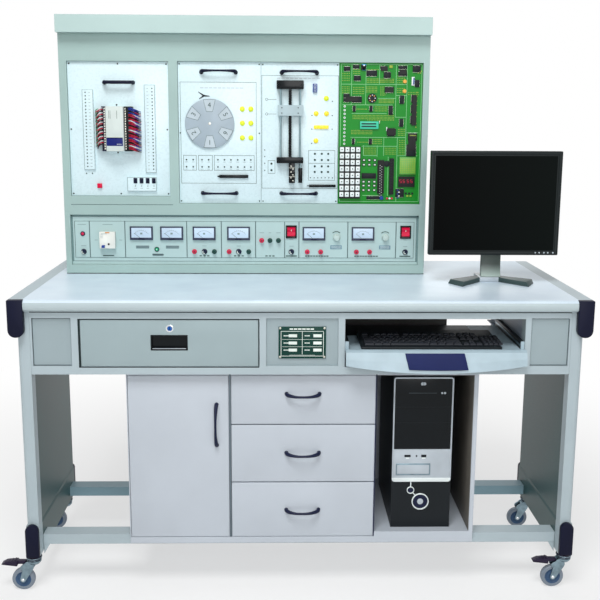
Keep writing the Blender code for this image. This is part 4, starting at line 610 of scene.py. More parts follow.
# %% Drawers and door of the cabinet
FRONT_Y = (0.04, 0.0565)
BOW_Y, BOW_OUT, BOW_RADIUS = 0.0405, 0.024, 0.0045
door_gap_shade = moulded("grey strip, painted shade between door and drawers", 0x5C6972, 0.45, depth=0.1)
strip_navy = moulded("vinyl edge strip, navy", 0x262B48, 0.45, depth=0.1)
bay_shade_sheet = moulded("dark sheet, painted shade on the bay wall", 0x6A665F, 0.6, depth=0.2)


def open_box(bm, x, y, z, wall, paint=0):
    """A box that is open at the top, with walls of one thickness."""
    size, middle = span(x, y, z)
    part = cube(size)
    lid = [face for face in part.faces if face.normal.z > 0.5]
    bmesh.ops.inset_region(part, faces=lid, thickness=wall)
    push(part, lid, (0, 0, wall - size.z))
    take(bm, part, paint, Matrix.Translation(middle))


for label, base, top, box_base, box_top, bow_z in (("upper", 0.4975, 0.6397, 0.5035, 0.6097, 0.587),
                                                   ("middle", 0.3255, 0.4945, 0.3315, 0.4645, 0.413),
                                                   ("lower", 0.1583, 0.3225, 0.1631, 0.2925, 0.241)):
    bm = bmesh.new()
    block(bm, (-0.1987, 0.2087), FRONT_Y, (base, top), soft=0.0022, segments=3)
    open_box(bm, (-0.1955, 0.2055), (0.056, 0.438), (box_base, box_top), 0.0012)
    bow(bm, (at(-0.0425, BOW_Y, bow_z), at(0.05, BOW_Y, bow_z)), BOW_OUT, BOW_RADIUS, 1, sag=(0, 0, -0.0042))
    piece(f"{label}_drawer_shell", bm, f"{label}_drawer", [cabinet_coat, navy_gloss], [f"{label}_drawer"])

bm = bmesh.new()
block(bm, (-0.4877, -0.2053), FRONT_Y, (0.1583, 0.6397), soft=0.0022, segments=3)
bow(bm, (at(-0.239, BOW_Y, 0.436), at(-0.239, BOW_Y, 0.556)), BOW_OUT, BOW_RADIUS, 1, sag=(-0.003, 0, 0))
for z in (0.215, 0.58):
    rod(bm, at(-0.484, 0.0565, z - 0.025), at(-0.484, 0.0565, z + 0.025), 0.002, 2, 12)
piece("cabinet_door_shell", bm, "cabinet_door", [cabinet_coat, navy_gloss, zinc_plate], ["cabinet_door"])
bm = bmesh.new()
# The grey strip between the door and the drawers is painted shade in the gap.
block(bm, (-0.2047, -0.1993), (0.0393, 0.0402), (0.1578, 0.6445), soft=0.0003)
block(bm, (0.209, 0.2118), (0.0393, 0.0402), (0.1578, 0.6445), soft=0.0003, paint=1)
# A dark sheet on the computer bay's right wall is painted shade.
block(bm, (0.4856, 0.4868), (0.0425, 0.4), (0.1735, 0.6435), soft=0.0004, paint=2)
piece("cabinet_divider_strip", bm, "desk", [door_gap_shade, strip_navy, bay_shade_sheet])
print("drawers 3, door 1")

# %% [markdown]
# The desk drawer has a wide pressed front with a round cylinder lock and a black recessed pull.
# The pull is a moulded cup with a lip along its lower edge. The front is one block whose face is
# cut and pushed in where the cup sits, which leaves a clean pocket. The lock is a chrome ring
# round a blue plug with a dark slot for the key.

# %% Desk drawer
def pocket_front(bm, x, y, z, hole_x, hole_z, deep, soft, paint=0):
    """A drawer front with one rectangular pocket in its face."""
    part = cube(*span(x, y, z))
    rounded(part, part.edges[:], soft, 3)
    for level in hole_x:
        cut(part, at(level, 0, 0), (1, 0, 0))
    for level in hole_z:
        cut(part, at(0, 0, level), (0, 0, 1))
    middle = at(sum(hole_x) / 2, y[0], sum(hole_z) / 2)
    part.faces.ensure_lookup_table()
    push(part, [min(part.faces, key=lambda face: (face.calc_center_median() - middle).length)], (0, deep, 0))
    take(bm, part, paint)


bm = bmesh.new()
pocket_front(bm, (-0.609, -0.121), (0.018, 0.034), (0.6718, 0.803), (-0.417, -0.315), (0.717, 0.761),
             0.012, 0.002)
open_box(bm, (-0.605, -0.125), (0.0335, 0.42), (0.6722, 0.78), 0.0012)
piece("desk_drawer_shell", bm, "desk_drawer", [drawer_coat], ["desk_drawer"])

bm = bmesh.new()
block(bm, (-0.4166, -0.3154), (0.0292, 0.0299), (0.7174, 0.7606))
for x, z in (((-0.4168, -0.413), (0.7172, 0.7608)), ((-0.319, -0.3152), (0.7172, 0.7608)),
             ((-0.4168, -0.3152), (0.757, 0.7608)), ((-0.4168, -0.3152), (0.7172, 0.725))):
    block(bm, x, (0.0176, 0.0296), z, soft=0.0012)
block(bm, (-0.412, -0.32), (0.0173, 0.0186), (0.7215, 0.7235), soft=0.0005, paint=1)
piece("drawer_pull", bm, "desk_drawer", [black_gloss, silver_paint])

bm = bmesh.new()
lock_blue = moulded("nylon, blue", 0x2257A6, 0.25, depth=0.05)
turned(bm, at(-0.364, 0.0277, 0.779), [(0, 0), (0.0108, 0), (0.011, 0.0092), (0.0105, 0.0103),
                                       (0.0094, 0.0107), (0.0074, 0.0106), (0.0064, 0.0096),
                                       (0, 0.0096)], steps=40)
turned(bm, at(-0.364, 0.0183, 0.779), [(0, 0), (0.0061, 0), (0.006, 0.0008), (0.0052, 0.0011),
                                       (0, 0.0012)], 1, 32)
block(bm, (-0.3647, -0.3633), (0.017, 0.0176), (0.7752, 0.7828), paint=2)
piece("drawer_lock_cylinder", bm, "drawer_lock", [chrome, lock_blue, black_gloss], ["drawer_lock"])
print("desk drawer, pull and lock")

# %% [markdown]
# The keyboard tray is a moulded shelf with a curved band along its front, and its solid already
# has that curve. The wrist plate is soft-touch rubber that follows the band. A copy of its solid
# is merged into one skin, and its rim is rounded over with a bevel. Black slides carry the tray.
# Thin dark strips in the gaps round the panels of the desk, under the worktop's front edge and along the
# console's foot are painted shade, and show as dark lines.

# %% Tray and wrist plate
# Both strip colours are painted shade in gaps; the grey one also draws the computer's slot line.
gap_shade_and_slot_grey = moulded("rubber gasket, grey", 0x4A5358, 0.6, depth=0)
dark_gap_shade = moulded("dark green strip, painted shade in gaps", 0x1E2A2C, 0.6, depth=0)
dress(tray_abs, "keyboard_tray")
bm = bmesh.new()
bm.from_mesh(nodes["wrist_pad"].data)
bmesh.ops.remove_doubles(bm, verts=bm.verts, dist=1e-6)
rims = bends(bm, 0.9)
rounded(bm, rims, 0.0014, 3)
piece("wrist_plate", bm, "keyboard_tray", [pad_rubber], ["wrist_pad"])
bm = bmesh.new()
for x, groove in (((0.1189, 0.1292), (0.1188, 0.1293)), ((0.6068, 0.6171), (0.6065, 0.6171))):
    block(bm, x, (0.024, 0.3298), (0.7199, 0.7424), soft=0.0006)
    block(bm, groove, (0.026, 0.329), (0.728, 0.734), soft=0.0002, paint=1)
# A thin black sheet on the tray's floor behind the keyboard is painted shade.
block(bm, (0.1296, 0.515), (0.19, 0.328), (0.7199, 0.7206), soft=0.0002)
piece("tray_slides_and_shade_sheet", bm, "keyboard_tray", [black_abs, zinc_plate])
bm = bmesh.new()
# These strips are painted shade round the blank panels, the drawer, under the worktop's edge and along the
# console's foot.
for x in ((-0.7398, -0.6342), (0.6342, 0.7398)):
    for run_x, z in ((x, (0.8056, 0.8079)), ((x[0], x[0] + 0.0014), (0.6735, 0.806)),
                     ((x[1] - 0.0014, x[1]), (0.6735, 0.806)), (x, (0.6735, 0.6752))):
        block(bm, run_x, (0.0232, 0.0241), z)
for x, y, z in (((-0.744, 0.744), (0.0171, 0.0182), (0.8236, 0.8266)),
                ((-0.6146, -0.6094), (0.0176, 0.0182), (0.6686, 0.8058)),
                ((-0.6146, -0.119), (0.0176, 0.0182), (0.6686, 0.6712)),
                ((-0.6146, -0.119), (0.0176, 0.0182), (0.8036, 0.8058)),
                ((-0.1205, -0.119), (0.0176, 0.0182), (0.6686, 0.8058)),
                ((0.6342, 0.7398), (0.0226, 0.0233), (0.806, 0.8079)),
                ((-0.734, 0.397), (0.4491, 0.4502), (0.8604, 0.8622))):
    block(bm, x, y, z, paint=1)
piece("housing_panel_gaps", bm, "desk", [gap_shade_and_slot_grey, dark_gap_shade])
print("rim edges rounded:", len(rims))

# %% [markdown]
# A keyboard is a shallow wedge with rows of caps. A cap is a small truncated pyramid, and it is
# repeated about a hundred times, so it stays at a few dozen faces: one cube, its top drawn in,
# its edges bevelled once. The rows follow a common layout, as widths in units of one cap.

# %% Keyboard
PITCH, ROWS_TOP, KEY_LEFT = 0.01805, 0.142, 0.1735


def caps(start, count, wide=1):
    """A run of caps of one width: the start and width of each, in units of one cap."""
    return [(start + n * wide, wide) for n in range(count)]


MIDDLE, RIGHT = caps(15.2, 3), caps(18.4, 4, 0.75)
LAYOUT = [  # distance down from the top row in units, then the caps
    (0, caps(0, 1) + caps(2, 4) + caps(6.5, 4) + caps(11, 4) + MIDDLE),
    (1.5, caps(0, 13) + caps(13, 1, 2) + MIDDLE + RIGHT),
    (2.5, caps(0, 1, 1.5) + caps(1.5, 12) + caps(13.5, 1, 1.5) + MIDDLE + RIGHT),
    (3.5, caps(0, 1, 1.75) + caps(1.75, 11) + caps(12.75, 1, 2.25) + RIGHT),
    (4.5, caps(0, 1, 2.25) + caps(2.25, 10) + caps(12.25, 1, 2.75) + caps(16.2, 1) + RIGHT),
    (5.5, caps(0, 1, 1.5) + caps(1.5, 2, 1.25) + caps(4, 1, 6) + caps(10, 4, 1.25) + caps(15.2, 3) + RIGHT),
]
KEY_SLOPE = atan2(0.01, 0.178)


def keycap(bm, x, y, wide, deep, base, tall, paint):
    """A cap whose top is drawn in, with its upper edges rounded."""
    part = cube((wide, deep, tall))
    top = [vert for vert in part.verts if vert.co.z > 0]
    bmesh.ops.scale(part, vec=(1 - 0.0044 / wide, 1 - 0.005 / deep, 1), verts=top)
    rounded(part, [edge for edge in part.edges if all(vert.co.z > 0 for vert in edge.verts)], 0.0011)
    take(bm, part, paint, Matrix.Translation(at(x, y, base + tall / 2)) @ Matrix.Rotation(KEY_SLOPE, 4, "X"))


TRAY_TOP, GAP, CAP_TALL = 0.7203, 0.0011, 0.005
bm = bmesh.new()
part = cube((0.3896, 0.1776, 0.0115))
for vert in part.verts:
    if vert.co.z > 0:
        vert.co.z += 0.0065 if vert.co.y > 0 else -0.0025
rounded(part, part.edges[:], 0.0022, 3)
take(bm, part, 0, Matrix.Translation(at(0.358, 0.097, TRAY_TOP + 0.00575)))
for down, row in LAYOUT:
    y = ROWS_TOP - (down + 0.5) * PITCH
    base = TRAY_TOP + 0.0098 + (y - 0.008) * 0.0085 / 0.178 * 0.9
    for start, wide in row:
        keycap(bm, KEY_LEFT + (start + wide / 2) * PITCH, y, wide * PITCH - GAP, PITCH - GAP, base,
               CAP_TALL, 1)
piece("keyboard_shell", bm, "keyboard_tray", [black_abs, keycap_black], ["keyboard"])
print("keys:", sum(len(row) for _, row in LAYOUT))

# %% [markdown]
# The castors have a grey polyurethane tyre pressed on a blue-grey nylon hub, a zinc-plated fork
# with two bright race rings, and on the front pair a pointed brake lever. Tyre and hub are lathe
# shapes around the axle.

# %% Castors
tyre = moulded("polyurethane, grey", 0x7C8794, 0.5, depth=0.2)
hub_nylon = moulded("nylon, slate blue", 0x3E5878, 0.36, depth=0.1)
lever_nylon = moulded("nylon, dark purple", 0x2A2238, 0.4, depth=0.2)
RIMS = [(0.0225, -0.0086), (0.03, -0.0088), (0.0325, -0.0062), (0.033, -0.002), (0.033, 0.002),
        (0.0325, 0.0062), (0.03, 0.0088), (0.0225, 0.0086), (0.0225, -0.0086)]
HUBS = [(0.0048, -0.0088), (0.0075, -0.0088), (0.0085, -0.0066), (0.016, -0.0052), (0.019, -0.007),
        (0.0226, -0.0082), (0.0226, 0.0082), (0.019, 0.007), (0.016, 0.0052), (0.0085, 0.0066),
        (0.0075, 0.0088), (0.0048, 0.0088), (0.0048, -0.0088)]
for side, x in (("left", -0.802), ("right", 0.738)):
    for end, y in (("front", 0.04), ("rear", 0.455)):
        wheel, fork = f"{side}_{end}_wheel", f"{side}_{end}_fork"
        bm = bmesh.new()
        turned(bm, at(x, y, 0.033), RIMS, steps=48)
        turned(bm, at(x, y, 0.033), HUBS, 1, 32)
        piece(f"{side}_{end}_tyre_and_hub", bm, wheel, [tyre, hub_nylon], [wheel])
        bm = bmesh.new()
        stem_x = x + 0.032
        for face in (-1, 1):
            plate_y = (y + face * 0.0112, y + face * 0.0138)
            rib_y = (y + face * 0.0108, y + face * 0.0133)
            skin(bm, disc_edge(x + 0.018, plate_y, 0.074, 0.015) + disc_edge(x, plate_y, 0.033, 0.008),
                 soft=0.0006)
            skin(bm, disc_edge(x + 0.002, rib_y, 0.07, 0.0085) + disc_edge(x + 0.02, rib_y, 0.079, 0.01),
                 soft=0.0006)
            turned(bm, at(x, y + face * 0.0136, 0.033),
                   [(0, 0), (0.0046, 0), (0.0044, 0.001), (0.0028, 0.002), (0, 0.0024)], 2, 20,
                   axis=(0, face, 0))
        block(bm, (x + 0.01, stem_x + 0.009), about(y, 0.0125), (0.079, 0.085), soft=0.0015)
        turned(bm, at(stem_x, y, 0), [(0, 0.08), (0.015, 0.08), (0.02, 0.086), (0.0205, 0.0905), (0, 0.0905)],
               steps=36, axis=(0, 0, 1))
        rod(bm, at(stem_x, y, 0.09), at(stem_x, y, 0.136), 0.0055)
        for z, wide, ink_slot in ((0.0925, 0.0195, 0), (0.0955, 0.0215, 1), (0.0985, 0.0225, 0),
                                  (0.1015, 0.0225, 1)):
            turned(bm, at(stem_x, y, z), [(0.009, -0.0013), (wide - 0.0008, -0.0013), (wide, 0),
                                          (wide - 0.0008, 0.0013), (0.009, 0.0013), (0.009, -0.0013)],
                   ink_slot, 32, axis=(0, 0, 1))
        piece(f"{side}_{end}_castor_fork", bm, fork, [zinc_plate, lever_nylon, chrome], [fork])
for side, x in (("left", -0.802), ("right", 0.738)):
    bm = bmesh.new()
    for wide, corners in ((0.013, ((-0.0595, 0.0795), (-0.06, 0.0815), (-0.045, 0.088), (-0.015, 0.0905),
                                   (-0.015, 0.074), (-0.042, 0.0775))),
                          (0.008, ((-0.018, 0.0895), (-0.018, 0.079), (0.009, 0.08), (0.009, 0.089)))):
        skin(bm, [at(x + right, 0.04 + half, z) for right, z in corners for half in (-wide, wide)],
             soft=0.0018)
    for n in range(4):
        block(bm, (x - 0.05 + n * 0.009, x - 0.0465 + n * 0.009), (0.03, 0.05),
              (0.083 + n * 0.0017, 0.088 + n * 0.0014), soft=0.0008)
    lever = f"{side}_front_brake_lever"
    piece(f"{side}_front_pedal", bm, lever, [lever_nylon], [lever])
print("castors: 4")

# %% [markdown]
# The computer's front is a moulded frame painted silver, around a black panel with a drive slot.
# The frame is the solid's own face with its middle inset and pushed in. Below the panel sit two
# sockets, a recess with a lip, a white band along the bezel's rounded bottom edge that is a painted
# highlight, and a pair of ring ornaments, which are left plain here.

# %% Computer tower
dress(black_abs, "tower_case")
BEZEL_FACE = 0.0647
bm = bmesh.new()
part = cube((0.171, 0.005, 0.313))
posts = [edge for edge in part.edges if abs((edge.verts[0].co - edge.verts[1].co).y) > 0.004]
rounded(part, posts, 0.008, 5)
face = [face for face in part.faces if face.normal.y < -0.9]
for rim in (0.0012, 0.0024):
    bmesh.ops.inset_region(part, faces=face, thickness=rim)
push(part, face, (0, 0.0018, 0))
take(bm, part, 0, Matrix.Translation(at(0.3485, BEZEL_FACE + 0.0025, 0.4705)))
panels(bm, BEZEL_FACE, ((0.2671, 0.4299, 0.0008, 0.003, 0.413, 0.6231, 0.0006, 1),
                        (0.2671, 0.4299, 0.0006, 0.003, 0.3179, 0.41, 0.0006, 0),
                        (0.274, 0.374, 0, 0.0012, 0.334, 0.37, 0.001, 3),
                        (0.277, 0.371, -0.0001, 0.0008, 0.3375, 0.366, 0.0012, 0)))
# The white band along the bezel's rounded bottom edge is a painted highlight.
skin(bm, [at(x, y, z) for x, z in ((0.2632, 0.3262), (0.2634, 0.3215), (0.2656, 0.3166), (0.2708, 0.3143),
                                    (0.4262, 0.3143), (0.4314, 0.3166), (0.4336, 0.3215), (0.4338, 0.3262))
          for y in (BEZEL_FACE - 0.0003, BEZEL_FACE + 0.0012)], soft=0.0005, paint=4)
panels(bm, BEZEL_FACE, ((0.306, 0.386, 0.0004, 0.001, 0.58, 0.5814, 0.0002, 5),
                        (0.27, 0.427, 0.0005, 0.001, 0.539, 0.5398, 0.0002, 2),
                        (0.27, 0.427, 0.0005, 0.001, 0.492, 0.4928, 0.0002, 2),
                        (0.302, 0.312, -0.0001, 0.0012, 0.384, 0.3875, 0.0005, 4),
                        (0.3485, 0.3595, -0.0001, 0.0012, 0.384, 0.3875, 0.0005, 4),
                        (0.298, 0.316, 0, 0.001, 0.389, 0.396, 0.0005, 2),
                        (0.331, 0.335, 0, 0.001, 0.3895, 0.3955, 0.0005, 2),
                        (0.3465, 0.3615, 0, 0.001, 0.3885, 0.3965, 0.0005, 2)))
for x, z, wide in ((0.401, 0.5808, 0.003), (0.409, 0.5808, 0.0034), (0.344, 0.608, 0.0046),
                   (0.35, 0.608, 0.0046)):
    turned(bm, at(x, BEZEL_FACE + 0.0012, z), [(0, 0), (wide, 0), (wide, 0.0006), (wide - 0.0008, 0.0012),
            (0, 0.0012)], steps=28)
piece("tower_front_shell", bm, "desk", [silver_paint, black_gloss, black_abs, zinc_plate, white_keys,
                                        gap_shade_and_slot_grey], ["tower_bezel"])

bm = bmesh.new()
for x, z, wide, rim in ((0.348, 0.252, 0.025, 0.0032), (0.319, 0.287, 0.011, 0.0024)):
    turned(bm, at(x, 0.07, z), [(wide - rim, 0), (wide, 0), (wide, 0.003), (wide - 0.001, 0.004),
                                (wide - rim + 0.0006, 0.004), (wide - rim, 0.003), (wide - rim, 0)], steps=48)
    turned(bm, at(x, 0.07, z), [(0, 0), (wide - rim - 0.0008, 0), (wide - rim - 0.0008, 0.0008),
                                (wide * 0.5, 0.0016), (wide * 0.4, 0.001), (0, 0.0014)], 1, 40)
turned(bm, at(0.348, 0.069, 0.252),
       [(0, 0), (0.0088, 0), (0.0088, 0.0014), (0.0058, 0.0026), (0, 0.0018)], 2, 28)
block(bm, (0.3176, 0.3204), (0.0668, 0.07), (0.2976, 0.3138), soft=0.0005)
rod(bm, at(0.3262, 0.0685, 0.2787), at(0.3322, 0.0685, 0.2716), 0.0014, segments=12)
piece("tower_rings", bm, "desk", [white_keys, navy_gloss, silver_paint])
print("tower front and rings")

# %% [markdown]
# The monitor is a thin ABS shell. Its bezel has a soft outer edge and slopes down to the panel,
# so the frame catches a line of light. The panel is glass with an anti-glare etch, nearly black
# when it is off. The shell is one block whose front face is inset twice. The neck is an upright
# plate whose front is cut into bands, and each band swept further forward, onto a two-armed foot.

# %% Monitor
def screen_glass(name):
    """Etched liquid-crystal panel: near black, with a painted reflection that makes it slightly lighter and
    greener toward one side.
    """
    material, tree, shader, spots = blank(name)
    sweep = spread(tree, parts_of(tree, spots)["X"], 0, 1, 0.45, 0.82)
    feed(tree, shader, {"Base Color": mix(tree, sweep, colour(0x010202), colour(0x0B100F)), "IOR": 1.5,
                        "Roughness": spread(tree, cloud(tree, spots, 0.8, 2), 0.42, 0.52),
                        "Specular IOR Level": 0.04})
    return material


lcd_glass = screen_glass("etched screen glass")
shell_abs = moulded("ABS, black, satin", 0x171E1F, 0.36, depth=0.15)


def faded_abs(name, low_code, high_code, low_z, high_z):
    """Satin plastic that pales toward its foot: painted shade above, under the head, and a painted highlight
    on the curved foot.
    """
    material, tree, shader, spots = blank(name)
    fade = spread(tree, parts_of(tree, spots)["Z"], 0, 1, low_z, high_z)
    feed(tree, shader, {"Base Color": mix(tree, fade, colour(low_code), colour(high_code)),
                        "Roughness": spread(tree, cloud(tree, spots, 1.5, 2), 0.32, 0.42)})
    return material


# The neck's painted shade under the head fades to a painted highlight at its foot.
neck_abs = faded_abs("ABS, grey green, painted highlight at the foot", 0xA3B5AD, 0x3C4A44, 0.879, 0.914)
head_low, head_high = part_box("monitor_head")
shell_x = (head_low.x - DATUM.x, head_high.x - DATUM.x)
shell_z = (head_low.z, head_high.z)
bm = bmesh.new()
size = Vector((shell_x[1] - shell_x[0], 0.022, shell_z[1] - shell_z[0]))
part = cube(size)
rounded(part, part.edges[:], 0.003, 4)
face = [face for face in part.faces if face.normal.y < -0.99]
bmesh.ops.inset_region(part, faces=face, thickness=0.0095, depth=-0.0018)
bmesh.ops.inset_region(part, faces=face, thickness=0.0012, depth=-0.002)
take(bm, part, 0, Matrix.Translation(at(sum(shell_x) / 2, 0.281, sum(shell_z) / 2)))
frame_x = (shell_x[0] + 0.0142, shell_x[1] - 0.0142)
block(bm, frame_x, (0.2734, 0.2745), (shell_z[0] + 0.0142, shell_z[1] - 0.0142), paint=1)
middle = sum(shell_x) / 2
block(bm, about(middle, 0.13), (0.2915, 0.304), (shell_z[0] + 0.04, shell_z[1] - 0.046),
      soft=0.005, segments=3)
for side in (-1, 1):
    block(bm, (middle + side * 0.0255 - 0.0039, middle + side * 0.0255 + 0.0039), (0.3035, 0.3278),
          (1.0625, 1.0818), soft=0.0015)
for row in range(14):
    z = 1.19 - row * 0.006
    block(bm, about(middle, 0.09), (0.3034, 0.3046), (z, z + 0.0022), soft=0.0004, paint=2)
for index in range(5):
    x = shell_x[1] - 0.0145 - (4 - index) * 0.0115 - (0.004 if index < 4 else 0) - (0.003 if index < 2 else 0)
    turned(bm, at(x, 0.2712, shell_z[0] + 0.0078), [(0, 0), (0.0024, 0), (0.0022, 0.0008), (0, 0.001)], 3, 16)
piece("monitor_shell", bm, "monitor_head", [shell_abs, lcd_glass, black_abs, silver_paint], ["monitor_head"])
foot_abs = moulded("ABS, dark grey green", 0x3B4C4C, 0.4, depth=0.15)


def swept(bm, x, y, z, forward, from_z, paint, bands=9):
    """An upright plate whose front face sweeps forward below one level."""
    size, middle = span(x, y, z)
    part = cube(size, middle)
    fall = from_z - z[0]
    for band in range(bands):
        cut(part, (0, 0, from_z - fall * band / bands), (0, 0, 1))
    for vert in part.verts:
        if vert.co.y < middle.y and vert.co.z < from_z:
            vert.co.y -= forward * ((from_z - vert.co.z) / fall) ** 2
    rounded(part, bends(part, 1), 0.0016, 3)
    take(bm, part, paint)


bm = bmesh.new()
swept(bm, (0.551, 0.611), (0.319, 0.331), (0.8756, 1.08), 0.0085, 0.925, 0)
rod(bm, at(middle, 0.345, 0.8753), at(middle, 0.345, 0.88), 0.027, 0, 40, 0.001)
rod(bm, at(0.555, 0.322, 1.072), at(0.597, 0.322, 1.072), 0.0085, 0, 24)
piece("monitor_neck_shell", bm, "monitor_neck", [neck_abs], ["monitor_neck"])

bm = bmesh.new()
inner = ((0.0285, 0.308), (0.0285, 0.352))
for side in (-1, 1):
    skin(bm, [at(middle + side * x, y, z) for z, ends in ((0.8604, ((0.13, 0.284), (0.099, 0.221))),
                                                         (0.874, ((0.1235, 0.282), (0.0925, 0.229))))
              for x, y in ends + inner], 0.0008)
block(bm, about(middle, 0.03), (0.308, 0.395), (0.8604, 0.8749), soft=0.0014, paint=1)
piece("monitor_foot", bm, "desk", [foot_abs, silver_paint], ["monitor_base"])
print("monitor:", tuple(round(v, 3) for v in size))

# %% [markdown]
# The experiment boards are sheet steel under white enamel: a hard glossy coat, nearly flat, with
# faint waves where it flowed. Their pull handles and the circuit board's chips stand forward of
# the face, so one coordinate tells the material where the face ends and the dark trim begins.

# %% Enamelled boards
def enamel_board(name, code, trim_code, trim_front, sheen=0.26, wave_mm=7):
    """Enamel with a second colour on everything that stands further forward than trim_front."""
    material, tree, shader, spots = blank(name)
    base = toned(tree, colour(code)[:3], spread(tree, cloud(tree, spots, 90), 0.97, 1.02, 0.3, 0.7))
    front = maths(tree, "LESS_THAN", parts_of(tree, spots)["Y"], at(0, trim_front, 0).y)
    flow = cloud(tree, spots, wave_mm, 2)
    feed(tree, shader, {"Base Color": mix(tree, front, base, colour(trim_code)),
                        "Roughness": spread(tree, flow, sheen - 0.04, sheen + 0.08),
                        "Normal": bumps(tree, flow, 0.1, 0.1, Normal=edge_of(tree, 0.7 * MM)[0])})
    return material


BOARD_FACE = 0.4582
board_white = enamel_board("enamel, white, with navy handles", 0xD9EEF3, 0x161C38, 0.4475)
dress(enamel_board("enamel, grey green, with navy meter frames", 0xB2CCCB, 0x1A2440, 0.4565, 0.36),
      "power_fascia")
print("boards dressed")

# %% [markdown]
# Everything on a board's face is small and comes in rows: 4 mm sockets, printed frames, lamps and
# screws. Each is shaped once at the origin, facing forward, and then stamped at all its places.
# A printed line is a strip of ink 0.2 mm high, so it shows from the side as the real one would.
# The plates themselves share one helper, which adds their raised boxes and arched bow handles.

# %% Small parts of the boards
def stamp(bm, shape, places):
    """Copies one small shape, which faces forward from the origin, to many places."""
    mesh = bpy.data.meshes.new("stamp")
    shape.to_mesh(mesh)
    shape.free()
    for place in places:
        mesh.transform(Matrix.Translation(place))
        bm.from_mesh(mesh)
        mesh.transform(Matrix.Translation(-place))
    bpy.data.meshes.remove(mesh)


def small(profile, paint=0, steps=14, also=()):
    """A small lathe shape facing forward; also holds further profiles with their own paint."""
    shape = bmesh.new()
    for line, slot in ((profile, paint), *also):
        turned(shape, Vector((0, 0, 0)), line, slot, steps)
    return shape


def socket_shape(wide, steps=12):
    """A plain 4 mm socket: a dark ring around a deep hole."""
    return small([(wide * 0.45, 0), (wide, 0), (wide * 0.92, 0.0008), (wide * 0.55, 0.001), (wide * 0.45, 0)],
                 0, steps, (([(0, 0), (wide * 0.5, 0), (0, 0.0003)], 1),))


def lamp_shape(wide):
    """A light-emitting diode: a lens with a domed end and a collar."""
    return small([(0, 0), (wide, 0), (wide, 0.001), (wide * 0.88, 0.0012), (wide * 0.88, 0.0032),
                  (wide * 0.7, 0.005), (wide * 0.38, 0.006), (0, 0.0064)], 0, 24)


def lines(bm, runs, face, wide=0.0007, paint=0):
    """Printed lines; each run is a list of x, z corners on one face."""
    y = (face - 0.0002, face + 0.0003)
    for run in runs:
        for (x0, z0), (x1, z1) in zip(run, run[1:]):
            if x0 == x1 or z0 == z1:
                (left, right), (low, high) = sorted((x0, x1)), sorted((z0, z1))
                block(bm, (left - wide / 2, right + wide / 2), y, (low - wide / 2, high + wide / 2),
                      paint=paint)
            else:
                turn = Matrix.Rotation(-atan2(z1 - z0, x1 - x0), 4, "Y")
                half = Vector((x1 - x0, 0, z1 - z0)).length / 2
                block(bm, about((x0 + x1) / 2, half), y, about((z0 + z1) / 2, wide / 2),
                      paint=paint, turn=turn)


def bar(x, z, half):
    """A level stroke, centred on a place."""
    return [(x - half, z), (x + half, z)]


def dashes(left, z, long, pitch, count):
    """A row of level strokes of one length, repeated at a pitch."""
    return [[(left + n * pitch, z), (left + n * pitch + long, z)] for n in range(count)]


def frame_run(x, z):
    """The corners of a printed frame."""
    return [(x[0], z[0]), (x[1], z[0]), (x[1], z[1]), (x[0], z[1]), (x[0], z[0])]


def grid(across, up, face=BOARD_FACE):
    """Places on a board: every x with every z."""
    return [at(x, face, z) for x in across for z in up]


def screw_shape(wide):
    """The domed head of a screw."""
    return small([(0, 0), (wide, 0), (wide * 0.95, 0.0008), (wide * 0.6, 0.0016), (0, 0.0019)], 0, 16)


def board_shell(name, body, x, z, base, bows=(), raised=()):
    """An enamelled plate with its raised boxes and its arched bow handles."""
    bm = bmesh.new()
    block(bm, x, (BOARD_FACE, 0.4622), z, soft=0.0006)
    for box_x, rise, box_z in raised:
        block(bm, box_x, (BOARD_FACE - rise, BOARD_FACE + 0.001), box_z, soft=0.0016, segments=3)
    for left, right, level, sag in bows:
        middle, half = (left + right) / 2, (right - left) / 2
        steps = ((-1, 0, 1.25), (-1, 0.45, 1.3), (-0.93, 0.8, 1.15), (-0.55, 0.96, 0.78), (0, 1, 0.66),
                 (0.55, 0.96, 0.78), (0.93, 0.8, 1.15), (1, 0.45, 1.3), (1, 0, 1.25))
        tube(bm, [at(middle + half * side, 0.459 - 0.0222 * out, level - sag + 2 * sag * out)
                  for side, out, _ in steps], 0.0044, 1, [wide for _, _, wide in steps])
        for side in (left, right):
            turned(bm, at(side, BOARD_FACE, level - sag),
                   [(0, 0), (0.0066, 0), (0.0064, 0.0022), (0.0052, 0.0034), (0, 0.0034)], 1, 20)
    piece(name, bm, body, [board_white, navy_abs], [base])


print("small parts ready")

# %% [markdown]
# The controller's board has two strips of sockets, a red push button and a box of four toggle
# switches. The box is a block with a grid of lines cut into its face; the four small squares where
# the levers pass are pushed in.

# %% Controller board
bm = bmesh.new()
stamp(bm, screw_shape(0.0024),
      [at(x, BOARD_FACE, z) for x, z in [(-0.7045, 1.5065), (-0.557, 1.5065), (-0.4095, 1.5065),
                                         (-0.7045, 1.3095), (-0.4095, 1.3095), (-0.7045, 1.112),
                                         (-0.557, 1.112), (-0.4095, 1.112)]])
rod(bm, at(-0.5995, 0.4362, 1.451), at(-0.5105, 0.4362, 1.451), 0.0052, 1, 24, soft=0.001)
piece("controller_board_screws", bm, "desk", [black_gloss, navy_abs])
board_shell("controller_board_shell", "desk", (-0.7105, -0.4035), (1.1055, 1.5135), "plc_board",
            [(-0.5985, -0.5115, 1.451, 0)], raised=[((-0.668, -0.633), 0.006, (1.185, 1.43)),
        ((-0.4785, -0.4445), 0.006, (1.1765, 1.4455))])
TOGGLE_X, MOUTH_Z = [-0.5107 + 0.019 * n for n in range(4)], (1.145, 1.1612)
part = cube((0.091, 0.01, 0.044), at(-0.4905, 0.4552, 1.142))
for x in TOGGLE_X:
    for edge in about(x, 0.0025):
        cut(part, at(edge, 0, 0), (1, 0, 0))
for z in MOUTH_Z:
    cut(part, at(0, 0, z), (0, 0, 1))
mouths = []
